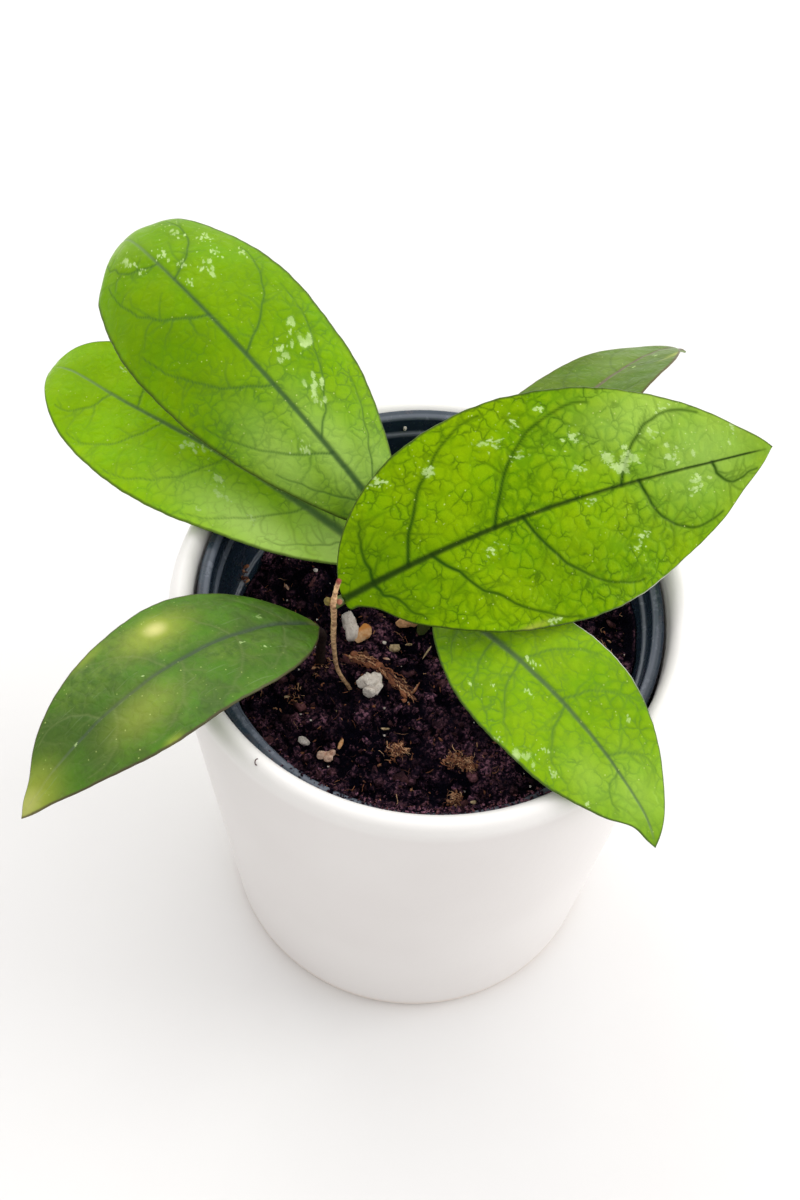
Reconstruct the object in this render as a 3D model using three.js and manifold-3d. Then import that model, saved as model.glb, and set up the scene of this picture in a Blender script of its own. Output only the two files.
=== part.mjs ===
// A young hoya in a dark plastic nursery pot, which stands inside a white glazed cover pot.
// Millimetres, +Z up, origin at the centre of the cover pot's flat underside.
import * as THREE from 'three';
import { mergeVertices } from 'three/addons/utils/BufferGeometryUtils.js';
import Module from 'manifold-3d';

const wasm = await Module();
wasm.setup();

// Clearance between two pieces that rest against each other
const GAP = 0.3;

// Cover pot: a tapered cup with a rounded lip
const COVER_HEIGHT = 122;
const COVER_RIM_RADIUS = 59;
const COVER_LIP_DROP = 3.3;
const COVER_MOUTH_RADIUS = 54.7;
const COVER_BASE_RADIUS = 48.7;
const COVER_FOOT_FILLET = 3;
const COVER_FLOOR_THICKNESS = 6;
const COVER_FLOOR_RADIUS = 45.2;
const COVER_FLOOR_FILLET = 1;
const COVER_SEGMENTS = 56;

// Nursery pot: thin walls with two stacking ledges and a folded rim, leaning towards the front
const NURSERY_RIM_CENTRE = new THREE.Vector3(0, 0.5, 118.2);
const NURSERY_LEAN_FRONT = 6.2;
const NURSERY_LEAN_RIGHT = 1.9;
const NURSERY_RIM_RADIUS = 53;
const NURSERY_RIM_THICKNESS = 1.9;
const NURSERY_RIM_ROUND = 1;
const NURSERY_SKIRT_DEPTH = 8;
const NURSERY_SKIRT_WALL = 1.1;
const NURSERY_SKIRT_DRAFT = 0.4;
const NURSERY_WALL = 1.2;
const NURSERY_FLOOR_RADIUS = 32;
const NURSERY_UPPER_LEDGE_DEPTH = 4.6;
const NURSERY_LOWER_LEDGE_DEPTH = 21;
const NURSERY_LEDGE_WIDTH = 0.9;
const NURSERY_LEDGE_FALL = 0.35;
const NURSERY_THROAT_RADIUS = 49.6;
const NURSERY_THROAT_FLARE = 0.6;
const NURSERY_LEDGE_RADIUS = 46.9;
const NURSERY_SEGMENTS = 48;
const DRAIN_COUNT = 6;
const DRAIN_RADIUS = 3.5;
const DRAIN_CIRCLE_RADIUS = 22;
const DRAIN_SIDES = 10;

// Soil: its top is lower on the left, and lumpy
const SOIL_DEPTH = 16.5;
const SOIL_RISE_TO_RIGHT = 0.16;
const SOIL_WAVES = [
  { height: 0.45, perX: 0.31, perY: 0.27, phase: 0.9 },
  { height: 0.45, perX: 0.31, perY: -0.27, phase: 1.7 },
  { height: 0.54, perX: 0.53, perY: -0.35, phase: 2.1 },
  { height: 0.45, perX: 0.18, perY: 0.61, phase: 1.57 },
];
const SOIL_CLEARANCE = 0.4;
const SOIL_LEDGE_STEP = 0.3;
const SOIL_RINGS = 7;
const SOIL_SEGMENTS = 40;

// The main stem, hidden under the leaves, swells where each pair of leaves grows from it
const STEM_RADIUS = 1.6;
const STEM_LOWER_NODE = [-1, 5.5, 114];
const STEM_UPPER_NODE = [-1.6, 5.7, 121.5];
const STEM_PATH = [[-0.5, 5, 84], [-1.4, 4.6, 100], STEM_LOWER_NODE, STEM_UPPER_NODE, [-1.8, 5.6, 125.5]];
const STEM_NODE_RADIUS = 2.1;
const STEM_NODE_HALF_HEIGHT = 1.9;

// The thin shoot in front of it carries the large right leaf, a small bud and a dry cut end
const SHOOT_RADIUS = 0.65;
const SHOOT_NODE = [-20.4, -17.3, 140.4];
const SHOOT_NODE_RADIUS = 1;
const SHOOT_PATH = [
  [-14.5, -9.6, 88],
  [-17.6, -11, 98.2],
  [-20, -12.1, 107],
  [-20.8, -13.1, 119],
  [-20.6, -14.8, 131],
  SHOOT_NODE,
];
const SHOOT_CUT_END = [SHOOT_NODE, [-20.1, -17.1, 144.4], [-19.4, -16.6, 148]];
const SHOOT_BUD = [-21.6, -16.9, 141.2];
const SHOOT_BUD_RADII = [0.9, 0.8, 1.2];

// Round bars: stems, shoots and petioles
const BAR_SIDES = 8;
const BAR_STEPS = 12;
const HOLE_CLEARANCE = 0.4;

// Leaf blades share their texture of thickness and the roundness of their base
const BLADE_BASE_POWER = 0.65;
const MIDRIB_THICKNESS = 1.1;
const MARGIN_THICKNESS = 0.7;
const KEEL_DEPTH = 0.45;
const PETIOLE_ROOT_STEPS = [8, 3, 0];
const NARROWEST_HALF_WIDTH = 0.5;
const CURL_START = 0.5;
const HOOK_START = 0.86;
const PETIOLE_RADIUS = 1;
const SPINE_STEPS = 80;
const BLADE_ROWS = 20;
const BLADE_COLUMNS = [-1, -0.7, -0.36, 0, 0.36, 0.7, 1];

// Each leaf: where its blade starts, where it heads (0 along +X, 90 along +Y), how steeply it rises
// (pitch), how much it arches over, curls and hooks at the tip, sweeps sideways, rolls and twists,
// then the blade's length and width, how blunt its tip is, where it is widest, and its cross fold.
// A swerve turns the tip sideways.
// Its petiole runs back through the points to the stem's node, or down into the soil.
const LEAVES = {
  leaf_upper_left: {
    base: [-9.5, 11.5, 128.5], heading: 149, pitch: 43, arch: 53, curl: 7, hook: 75, sweep: -18,
    roll: 15, twist: 2, length: 105, width: 44.5, tipPower: 0.58, skewPower: 1.16, lopside: -0.08,
    fold: 1, cup: -18, petiole: [[-6.8, 9.9, 125.6]], node: STEM_UPPER_NODE, colour: 0x6fa617,
  },
  leaf_left: {
    base: [-12, 9.5, 119], heading: 152, pitch: 18, arch: 37, curl: -34, hook: 60, sweep: -2,
    roll: 2, twist: 8, length: 99, width: 41, tipPower: 0.6, skewPower: 1.08, lopside: -0.04,
    fold: 5, cup: -5, petiole: [[-7.8, 7.6, 117.2]], node: STEM_LOWER_NODE, colour: 0x6fa617,
  },
  leaf_right: {
    base: [-18.5, -16.5, 141], heading: 32, pitch: 14, arch: 28, curl: -12, hook: 0, sweep: -7,
    roll: -31, twist: -19, length: 104, width: 51, tipPower: 0.88, skewPower: 1.08, lopside: 0.14,
    fold: 5, cup: -5, petiole: [], node: SHOOT_NODE, colour: 0x79ae0e,
  },
  leaf_lower_right: {
    base: [1, -4.5, 126.5], heading: -36, pitch: 10, arch: 31, curl: 8, hook: 14, sweep: -18,
    roll: 2, twist: -6, length: 73.5, width: 34.5, tipPower: 0.97, skewPower: 1.08, lopside: 0.02,
    fold: 5, cup: -6, petiole: [[-0.6, -1.4, 125]], node: STEM_UPPER_NODE, colour: 0x79b31d,
    swerve: -15,
  },
  leaf_lower_left: {
    base: [-25, -5.5, 113.5], heading: 217, pitch: 46, arch: 86, curl: -4, hook: 0, sweep: 18,
    roll: -11, twist: 5, length: 87, width: 34.5, tipPower: 0.92, skewPower: 1.08, lopside: -0.02,
    fold: 6, cup: -6, petiole: [[-24.2, -5, 109.8], [-24.6, -4.6, 103], [-25, -4.2, 88]], node: null,
    colour: 0x4a7a28,
  },
  leaf_back_right: {
    base: [5, 19, 121], heading: 55, pitch: 24, arch: 53, curl: 7, hook: 0, sweep: -4,
    roll: 14, twist: 13, length: 91, width: 28.5, tipPower: 1.05, skewPower: 1.08, lopside: -0.02,
    fold: 8, cup: -1, petiole: [[2, 14.2, 118], [0.2, 9.6, 115.6]], node: STEM_LOWER_NODE, colour: 0x7aa031,
    swerve: -26,
  },
};

// Crumbs that lie half sunk in the soil: place on the soil, three radii, and turn about +Z
const CRUMBS = {
  perlite_large: { at: [-12.5, -10.9], radii: [2.9, 2.7, 2.3], turn: 20, colour: 0xe9e4da },
  perlite_tall: { at: [-19.3, 4.8], radii: [1.5, 3.4, 1.9], turn: 12, colour: 0xe9e6e0 },
  perlite_small: { at: [-26.2, -24.9], radii: [1.6, 1.1, 1.1], turn: -20, colour: 0xe6e0d6 },
  chip_orange: { at: [-14.8, 1.6], radii: [1.5, 2, 1.2], turn: -25, colour: 0xc08a4a },
  chip_tan: { at: [-5.2, 7.4], radii: [2.4, 2, 1.6], turn: 0, colour: 0xa87b52 },
  chip_beige: { at: [-7.7, -0.5], radii: [1.3, 1.2, 1], turn: 0, colour: 0xb8a27c },
  chip_pale: { at: [-20.3, -28.5], radii: [2.1, 1.7, 1.3], turn: 30, colour: 0xcbb09a },
};
const CRUMB_SUNK = 0.35;
const CRUMB_ROUGHNESS = 0.16;
const CRUMB_BUMPS = [5, 4, 6];
const POCKET_CLEARANCE = 0.35;

// A strip of bark that lies across the soil
const BARK_ROUTE = [[-18, -4.5], [-12, -6.3], [-6.5, -10.4], [-2.1, -14.2]];
const BARK_WIDTH = 2.4;
const BARK_THICKNESS = 1.6;
const BARK_END_LIFT = 0.1;
const BARK_MIDDLE_LIFT = 0.5;
const BARK_END_REACH = 0.2;
const BARK_STEPS = 14;
const BARK_COLOUR = 0x8a5a3c;

const UP = new THREE.Vector3(0, 0, 1);
const radians = THREE.MathUtils.degToRad;
const lerp = THREE.MathUtils.lerp;

// Closed triangle mesh of a geometry as a solid, with its faces turned outwards
function toSolid(geometry) {
  const bare = geometry.clone();
  bare.deleteAttribute('normal');
  bare.deleteAttribute('uv');
  const merged = mergeVertices(bare, 1e-4);
  const build = (triVerts) => new wasm.Manifold(new wasm.Mesh({
    numProp: 3,
    vertProperties: Float32Array.from(merged.attributes.position.array),
    triVerts: Uint32Array.from(triVerts),
  }));
  const solid = build(merged.index.array);
  if (solid.volume() > 0) {
    return solid;
  }
  return build(merged.index.array.toReversed());
}

function toGeometry(solid) {
  const mesh = solid.getMesh();
  const geometry = new THREE.BufferGeometry();
  geometry.setAttribute('position', new THREE.BufferAttribute(mesh.vertProperties, 3));
  geometry.setIndex(new THREE.BufferAttribute(mesh.triVerts, 1));
  geometry.computeVertexNormals();
  return geometry;
}

function fuse(geometries) {
  return geometries.map(toSolid).reduce((whole, piece) => whole.add(piece));
}

function vector(point) {
  return new THREE.Vector3(...point);
}

// Round bar along a smooth curve through the points
function roundBar(points, radius) {
  const circle = new THREE.Shape().absarc(0, 0, radius, 0, 2 * Math.PI);
  return new THREE.ExtrudeGeometry(circle, {
    steps: BAR_STEPS,
    curveSegments: BAR_SIDES / 2,
    extrudePath: new THREE.CatmullRomCurve3(points.map(vector)),
  });
}

function ball(centre, radii, turn = 0, detail = 1) {
  const geometry = new THREE.IcosahedronGeometry(1, detail);
  geometry.scale(...radii);
  geometry.rotateZ(radians(turn));
  geometry.translate(...centre);
  return geometry;
}

// Surface of revolution about +Z from [radius, height] pairs, which start and end on the axis
function turned(profile, segments) {
  const points = profile.map(([radius, height]) => new THREE.Vector2(radius, height));
  return new THREE.LatheGeometry(points, segments).rotateX(Math.PI / 2);
}

function coverPot() {
  const lipRadius = (COVER_RIM_RADIUS - COVER_MOUTH_RADIUS) / 2;
  const lipCentre = COVER_MOUTH_RADIUS + lipRadius;
  const profile = [[0, 0]];
  for (const angle of [0, 45, 90]) {
    profile.push([
      COVER_BASE_RADIUS - COVER_FOOT_FILLET * (1 - Math.sin(radians(angle))),
      COVER_FOOT_FILLET * (1 - Math.cos(radians(angle))),
    ]);
  }
  for (const angle of [0, 30, 60, 90, 120, 150, 180]) {
    profile.push([
      lipCentre + lipRadius * Math.cos(radians(angle)),
      COVER_HEIGHT - COVER_LIP_DROP * (1 - Math.sin(radians(angle))),
    ]);
  }
  profile.push([COVER_FLOOR_RADIUS, COVER_FLOOR_THICKNESS + COVER_FLOOR_FILLET]);
  profile.push([COVER_FLOOR_RADIUS - COVER_FLOOR_FILLET, COVER_FLOOR_THICKNESS]);
  profile.push([0, COVER_FLOOR_THICKNESS]);
  return toSolid(turned(profile, COVER_SEGMENTS));
}

// The nursery pot's own frame: its rim's centre, leaning to the front and to the right
const nurseryAxis = new THREE.Vector3(
  Math.tan(radians(NURSERY_LEAN_RIGHT)),
  -Math.tan(radians(NURSERY_LEAN_FRONT)),
  1,
).normalize();
const nurseryFrame = new THREE.Matrix4().compose(
  NURSERY_RIM_CENTRE,
  new THREE.Quaternion().setFromUnitVectors(UP, nurseryAxis),
  new THREE.Vector3(1, 1, 1),
);

// Its front bottom edge stands on the cover pot's floor
const nurseryEdgeDrop = NURSERY_FLOOR_RADIUS * Math.sqrt(1 - nurseryAxis.z ** 2);
const nurseryHeight = (NURSERY_RIM_CENTRE.z - COVER_FLOOR_THICKNESS - GAP - nurseryEdgeDrop) / nurseryAxis.z;

// Inside of the nursery pot as [radius, depth under the rim] pairs, from the rim down
const nurseryInside = [
  [NURSERY_THROAT_RADIUS + NURSERY_THROAT_FLARE, NURSERY_RIM_ROUND],
  [NURSERY_THROAT_RADIUS, NURSERY_UPPER_LEDGE_DEPTH],
  [NURSERY_THROAT_RADIUS - NURSERY_LEDGE_WIDTH, NURSERY_UPPER_LEDGE_DEPTH + NURSERY_LEDGE_FALL],
  [NURSERY_LEDGE_RADIUS, NURSERY_LOWER_LEDGE_DEPTH],
  [NURSERY_LEDGE_RADIUS - NURSERY_LEDGE_WIDTH, NURSERY_LOWER_LEDGE_DEPTH + NURSERY_LEDGE_FALL],
  [NURSERY_FLOOR_RADIUS - NURSERY_WALL, nurseryHeight - NURSERY_WALL],
];

function insideRadius(depth) {
  const below = nurseryInside.findIndex((point) => point[1] >= depth);
  const [upper, lower] = [nurseryInside[below - 1], nurseryInside[below]];
  return lerp(upper[0], lower[0], (depth - upper[1]) / (lower[1] - upper[1]));
}

function nurseryPot() {
  const rim = NURSERY_RIM_RADIUS;
  const profile = [[0, -nurseryHeight], [NURSERY_FLOOR_RADIUS, -nurseryHeight]];
  for (const [radius, depth] of nurseryInside.slice(1, -1).reverse()) {
    profile.push([radius + NURSERY_WALL, -depth - NURSERY_WALL]);
  }
  profile.push([NURSERY_THROAT_RADIUS + NURSERY_WALL, -NURSERY_RIM_THICKNESS]);
  profile.push([rim - NURSERY_SKIRT_WALL, -NURSERY_RIM_THICKNESS]);
  profile.push([rim - NURSERY_SKIRT_WALL - NURSERY_SKIRT_DRAFT, -NURSERY_SKIRT_DEPTH]);
  profile.push([rim - NURSERY_SKIRT_DRAFT, -NURSERY_SKIRT_DEPTH]);
  for (const angle of [0, 45, 90]) {
    profile.push([
      rim - NURSERY_RIM_ROUND * (1 - Math.cos(radians(angle))),
      -NURSERY_RIM_ROUND * (1 - Math.sin(radians(angle))),
    ]);
  }
  profile.push([NURSERY_THROAT_RADIUS + NURSERY_THROAT_FLARE + NURSERY_RIM_ROUND, 0]);
  for (const [radius, depth] of nurseryInside) {
    profile.push([radius, -depth]);
  }
  profile.push([0, NURSERY_WALL - nurseryHeight]);
  const drillLength = 4 * NURSERY_WALL;
  let pot = toSolid(turned(profile, NURSERY_SEGMENTS));
  for (let hole = 0; hole < DRAIN_COUNT; hole += 1) {
    const angle = hole * 2 * Math.PI / DRAIN_COUNT;
    const drill = new THREE.CylinderGeometry(DRAIN_RADIUS, DRAIN_RADIUS, drillLength, DRAIN_SIDES);
    drill.rotateX(Math.PI / 2);
    drill.translate(
      DRAIN_CIRCLE_RADIUS * Math.cos(angle),
      DRAIN_CIRCLE_RADIUS * Math.sin(angle),
      -nurseryHeight,
    );
    pot = pot.subtract(toSolid(drill));
  }
  return pot;
}

// How far the soil's top lies under the nursery rim, in the nursery pot's frame
function soilDepth(x, y) {
  let depth = SOIL_DEPTH - SOIL_RISE_TO_RIGHT * x;
  for (const { height, perX, perY, phase } of SOIL_WAVES) {
    depth -= height * Math.sin(perX * x + perY * y + phase);
  }
  return depth;
}

// The soil's top at a place seen from above, as a point of the whole plant's frame
function onSoil([x, y]) {
  const point = new THREE.Vector3();
  const local = { x, y: y - NURSERY_RIM_CENTRE.y };
  for (let pass = 0; pass < 6; pass += 1) {
    point.set(local.x, local.y, -soilDepth(local.x, local.y)).applyMatrix4(nurseryFrame);
    local.x += x - point.x;
    local.y += y - point.y;
  }
  return point;
}

// Soil body: rings over its lumpy top, then down inside the pot's wall to the floor
function soilBody() {
  const edge = (angle) => {
    let radius = NURSERY_LEDGE_RADIUS;
    for (let pass = 0; pass < 4; pass += 1) {
      radius = insideRadius(soilDepth(radius * Math.cos(angle), radius * Math.sin(angle))) - SOIL_CLEARANCE;
    }
    return radius;
  };
  const floorDepth = nurseryHeight - NURSERY_WALL - SOIL_CLEARANCE;
  const ledge = NURSERY_LOWER_LEDGE_DEPTH;
  const ring = (index, angle) => {
    const [cos, sin] = [Math.cos(angle), Math.sin(angle)];
    const rimRadius = edge(angle);
    const rimDepth = soilDepth(rimRadius * cos, rimRadius * sin);
    if (index <= SOIL_RINGS) {
      const radius = rimRadius * index / SOIL_RINGS;
      return [radius * cos, radius * sin, -soilDepth(radius * cos, radius * sin)];
    }
    const aboveLedge = Math.max(rimDepth + SOIL_LEDGE_STEP, ledge - 2 * SOIL_LEDGE_STEP);
    const belowLedge = Math.max(rimDepth + 2 * SOIL_LEDGE_STEP, ledge + 3 * SOIL_LEDGE_STEP);
    const depth = [aboveLedge, belowLedge, floorDepth][index - SOIL_RINGS - 1];
    const lower = Math.min(depth + SOIL_CLEARANCE, floorDepth);
    const radius = Math.min(insideRadius(depth), insideRadius(lower)) - SOIL_CLEARANCE;
    return [radius * cos, radius * sin, -depth];
  };
  const rings = SOIL_RINGS + 3;
  const positions = [0, 0, -soilDepth(0, 0), 0, 0, -floorDepth];
  const indices = [];
  const at = (index, step) => 2 + (index - 1) * SOIL_SEGMENTS + (step % SOIL_SEGMENTS);
  for (let index = 1; index <= rings; index += 1) {
    for (let step = 0; step < SOIL_SEGMENTS; step += 1) {
      positions.push(...ring(index, step * 2 * Math.PI / SOIL_SEGMENTS));
    }
  }
  for (let step = 0; step < SOIL_SEGMENTS; step += 1) {
    indices.push(0, at(1, step), at(1, step + 1));
    indices.push(1, at(rings, step + 1), at(rings, step));
    for (let index = 1; index < rings; index += 1) {
      indices.push(at(index, step), at(index + 1, step), at(index + 1, step + 1));
      indices.push(at(index, step), at(index + 1, step + 1), at(index, step + 1));
    }
  }
  const geometry = new THREE.BufferGeometry();
  geometry.setAttribute('position', new THREE.Float32BufferAttribute(positions, 3));
  geometry.setIndex(indices);
  geometry.applyMatrix4(nurseryFrame);
  return toSolid(geometry);
}

// The leaf's heading and pitch at t, from 0 at the blade's base to 1 at its tip, in radians
function direction(leaf, t) {
  const curl = Math.max(0, (t - CURL_START) / (1 - CURL_START)) ** 2;
  const hook = Math.max(0, (t - HOOK_START) / (1 - HOOK_START)) ** 1.5;
  const swerve = leaf.swerve ?? 0;
  return {
    heading: radians(leaf.heading + leaf.sweep * t + swerve * hook),
    pitch: radians(leaf.pitch - leaf.arch * t - leaf.curl * curl - leaf.hook * hook),
  };
}

// Points of the midrib at even steps, each with the blade's sideways and upward directions
function spine(leaf) {
  const points = [vector(leaf.base)];
  for (let step = 0; step < SPINE_STEPS; step += 1) {
    const { heading, pitch } = direction(leaf, (step + 0.5) / SPINE_STEPS);
    const along = new THREE.Vector3(
      Math.cos(pitch) * Math.cos(heading),
      Math.cos(pitch) * Math.sin(heading),
      Math.sin(pitch),
    );
    points.push(points[step].clone().addScaledVector(along, leaf.length / SPINE_STEPS));
  }
  return points.map((point, step) => {
    const t = step / SPINE_STEPS;
    const { heading, pitch } = direction(leaf, t);
    const roll = radians(leaf.roll + leaf.twist * t);
    const flatSide = new THREE.Vector3(Math.sin(heading), -Math.cos(heading), 0);
    const flatUp = new THREE.Vector3(
      -Math.cos(heading) * Math.sin(pitch),
      -Math.sin(heading) * Math.sin(pitch),
      Math.cos(pitch),
    );
    return {
      point,
      side: flatSide.clone().multiplyScalar(Math.cos(roll)).addScaledVector(flatUp, Math.sin(roll)),
      up: flatUp.clone().multiplyScalar(Math.cos(roll)).addScaledVector(flatSide, -Math.sin(roll)),
    };
  });
}

// Half the blade's width at t, on its right side (+1) or its left side (-1)
function halfWidth(leaf, t, hand) {
  const along = t ** (leaf.skewPower * (1 + leaf.lopside * hand));
  const widest = BLADE_BASE_POWER / (BLADE_BASE_POWER + leaf.tipPower);
  const outline = (along / widest) ** BLADE_BASE_POWER * ((1 - along) / (1 - widest)) ** leaf.tipPower;
  return Math.max(leaf.width / 2 * outline, NARROWEST_HALF_WIDTH);
}

// Closed blade: the same grid and the same triangles on its upper and lower faces
function blade(leaf) {
  const backbone = spine(leaf);
  const columns = BLADE_COLUMNS.length;
  const face = (sign) => {
    const positions = [];
    for (let row = 0; row <= BLADE_ROWS; row += 1) {
      const step = Math.round(SPINE_STEPS * 0.5 * (1 - Math.cos(Math.PI * row / BLADE_ROWS)));
      const t = step / SPINE_STEPS;
      const { point, side, up } = backbone[step];
      for (const across of BLADE_COLUMNS) {
        const hand = Math.sign(across);
        const reach = halfWidth(leaf, t, hand || 1) * Math.abs(across);
        const lift = radians(leaf.fold + leaf.cup * Math.abs(across));
        const keel = sign < 0 && hand === 0 ? KEEL_DEPTH * (1 - t) : 0;
        const thickness = lerp(MIDRIB_THICKNESS, MARGIN_THICKNESS, Math.abs(across)) / 2 + keel;
        const place = point.clone()
          .addScaledVector(side, reach * hand * Math.cos(lift) - sign * thickness * hand * Math.sin(lift))
          .addScaledVector(up, reach * Math.sin(lift) + sign * thickness * Math.cos(lift));
        positions.push(...place.toArray());
      }
    }
    return positions;
  };
  const size = columns * (BLADE_ROWS + 1);
  const indices = [];
  const quad = (a, b, c, d) => indices.push(a, b, c, a, c, d);
  for (let row = 0; row < BLADE_ROWS; row += 1) {
    for (let column = 0; column < columns - 1; column += 1) {
      const a = row * columns + column;
      const [b, c, d] = [a + 1, a + columns + 1, a + columns];
      quad(a, b, c, d);
      indices.push(size + a, size + c, size + b, size + a, size + d, size + c);
    }
    const [left, right] = [row * columns, row * columns + columns - 1];
    quad(left, left + columns, size + left + columns, size + left);
    quad(right, size + right, size + right + columns, right + columns);
  }
  const tip = BLADE_ROWS * columns;
  for (let column = 0; column < columns - 1; column += 1) {
    quad(column, size + column, size + column + 1, column + 1);
    quad(tip + column, tip + column + 1, size + tip + column + 1, size + tip + column);
  }
  const geometry = new THREE.BufferGeometry();
  geometry.setAttribute('position', new THREE.Float32BufferAttribute([...face(1), ...face(-1)], 3));
  geometry.setIndex(indices);
  return geometry;
}

// The petiole's last point lies off the stem's swollen node by the clearance between two pieces
function petioleFoot(leaf, before) {
  const nodeRadius = leaf.node === SHOOT_NODE ? SHOOT_NODE_RADIUS : STEM_NODE_RADIUS;
  const centre = vector(leaf.node);
  const outward = vector(before).sub(centre).normalize();
  return centre.addScaledVector(outward, nodeRadius + GAP).toArray();
}

// Leaf: its blade fused with the petiole, which runs back from under the midrib
function leafSolid(leaf) {
  const backbone = spine(leaf);
  const under = (step) => backbone[step].point.clone()
    .addScaledVector(backbone[step].up, -KEEL_DEPTH).toArray();
  const route = [...PETIOLE_ROOT_STEPS.map(under), ...leaf.petiole];
  if (leaf.node) {
    route.push(petioleFoot(leaf, route.at(-1)));
  }
  return fuse([blade(leaf), roundBar(route, PETIOLE_RADIUS)]);
}

function stem() {
  const radii = [STEM_NODE_RADIUS, STEM_NODE_RADIUS, STEM_NODE_HALF_HEIGHT];
  return fuse([
    roundBar(STEM_PATH, STEM_RADIUS),
    ball(STEM_LOWER_NODE, radii),
    ball(STEM_UPPER_NODE, radii),
    ball(STEM_PATH.at(-1), [STEM_RADIUS, STEM_RADIUS, STEM_NODE_HALF_HEIGHT]),
  ]);
}

function shoot() {
  return fuse([
    roundBar(SHOOT_PATH, SHOOT_RADIUS),
    roundBar(SHOOT_CUT_END, SHOOT_RADIUS),
    ball(SHOOT_NODE, [SHOOT_NODE_RADIUS, SHOOT_NODE_RADIUS, SHOOT_NODE_RADIUS]),
    ball(SHOOT_BUD, SHOOT_BUD_RADII),
  ]);
}

// A rough crumb, or with room around it, the pocket that it lies in
function crumb({ at, radii, turn }, room = 0) {
  const grown = radii.map((radius) => radius + room);
  const geometry = ball([0, 0, 0], grown, turn);
  const position = geometry.attributes.position;
  for (let index = 0; index < position.count; index += 1) {
    const point = new THREE.Vector3().fromBufferAttribute(position, index);
    const facing = point.clone().normalize();
    const bumps = Math.sin(CRUMB_BUMPS[0] * facing.x + at[0])
      * Math.sin(CRUMB_BUMPS[1] * facing.y + at[1])
      * Math.sin(CRUMB_BUMPS[2] * facing.z + 1);
    point.multiplyScalar(1 + CRUMB_ROUGHNESS * bumps);
    position.setXYZ(index, point.x, point.y, point.z);
  }
  const centre = onSoil(at);
  geometry.translate(centre.x, centre.y, centre.z + radii[2] * (1 - 2 * CRUMB_SUNK));
  return toSolid(geometry);
}

// The bark strip, or with room around it, the groove that it lies in
function barkStrip(room = 0) {
  const [width, thickness] = [BARK_WIDTH / 2 + room, BARK_THICKNESS / 2 + room];
  const section = new THREE.Shape([
    new THREE.Vector2(-thickness, -width),
    new THREE.Vector2(thickness, -width * 0.7),
    new THREE.Vector2(thickness * 0.8, width * 0.8),
    new THREE.Vector2(-thickness, width),
  ]);
  const route = BARK_ROUTE.map((place, index) => {
    const point = onSoil(place);
    const end = index === 0 || index === BARK_ROUTE.length - 1;
    return point.setZ(point.z + (end ? BARK_END_LIFT : BARK_MIDDLE_LIFT));
  });
  const beyond = (end, before) => end.clone().addScaledVector(
    end.clone().sub(before).normalize(),
    BARK_END_REACH + room,
  );
  route.unshift(beyond(route[0], route[1]));
  route.push(beyond(route.at(-1), route.at(-2)));
  return toSolid(new THREE.ExtrudeGeometry(section, {
    steps: BARK_STEPS,
    extrudePath: new THREE.CatmullRomCurve3(route),
  }));
}

// Soil with a plain hole for each stem and petiole that stands in it, and a pocket for each crumb
function soil() {
  let body = soilBody();
  const foot = LEAVES.leaf_lower_left.petiole;
  const deeper = ([x, y, z]) => [x, y, z - 2 * GAP];
  const holes = [
    roundBar([deeper(STEM_PATH[0]), ...STEM_PATH], STEM_RADIUS + HOLE_CLEARANCE),
    roundBar([deeper(SHOOT_PATH[0]), ...SHOOT_PATH], SHOOT_RADIUS + HOLE_CLEARANCE),
    roundBar([...foot, deeper(foot.at(-1))], PETIOLE_RADIUS + HOLE_CLEARANCE),
  ].map(toSolid);
  const pockets = Object.values(CRUMBS).map((piece) => crumb(piece, POCKET_CLEARANCE));
  for (const cutter of [...holes, ...pockets, barkStrip(POCKET_CLEARANCE)]) {
    body = body.subtract(cutter);
  }
  return body;
}

const plant = new THREE.Group();

function place(name, solid, colour, roughness) {
  const material = new THREE.MeshStandardMaterial({ color: colour, roughness, metalness: 0 });
  const mesh = new THREE.Mesh(toGeometry(solid), material);
  mesh.name = name;
  plant.add(mesh);
  return mesh;
}

place('cover_pot', coverPot(), 0xf2f0ec, 0.35);
place('nursery_pot', nurseryPot(), 0x1b2230, 0.4).applyMatrix4(nurseryFrame);
place('soil', soil(), 0x2a1c1a, 0.95);
place('stem', stem(), 0x6a7a35, 0.6);
place('shoot', shoot(), 0x8a6a45, 0.7);
for (const [name, leaf] of Object.entries(LEAVES)) {
  place(name, leafSolid(leaf), leaf.colour, 0.4);
}
for (const [name, piece] of Object.entries(CRUMBS)) {
  place(name, crumb(piece), piece.colour, 0.9);
}
place('bark_strip', barkStrip(), BARK_COLOUR, 0.9);

export default plant;
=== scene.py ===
import math

import bmesh
import bpy
import numpy as np
from mathutils import Matrix, Vector, noise
from mathutils.kdtree import KDTree


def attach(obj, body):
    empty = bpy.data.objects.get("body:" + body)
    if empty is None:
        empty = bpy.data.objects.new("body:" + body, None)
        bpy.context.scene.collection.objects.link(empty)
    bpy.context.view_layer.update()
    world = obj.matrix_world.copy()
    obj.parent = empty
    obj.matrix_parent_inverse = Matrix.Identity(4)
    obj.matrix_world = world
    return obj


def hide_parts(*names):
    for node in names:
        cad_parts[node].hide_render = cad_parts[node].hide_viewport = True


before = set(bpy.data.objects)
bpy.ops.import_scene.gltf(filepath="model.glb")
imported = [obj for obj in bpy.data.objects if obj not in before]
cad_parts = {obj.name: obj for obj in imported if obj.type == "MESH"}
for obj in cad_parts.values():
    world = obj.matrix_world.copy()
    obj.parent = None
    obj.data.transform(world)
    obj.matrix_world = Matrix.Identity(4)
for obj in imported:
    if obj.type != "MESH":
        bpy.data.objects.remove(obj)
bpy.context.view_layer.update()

# Everything is worked out in millimetres, in the frame's axes, and written to the meshes in metres.
MM = 0.001
GAP = 0.3

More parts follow.
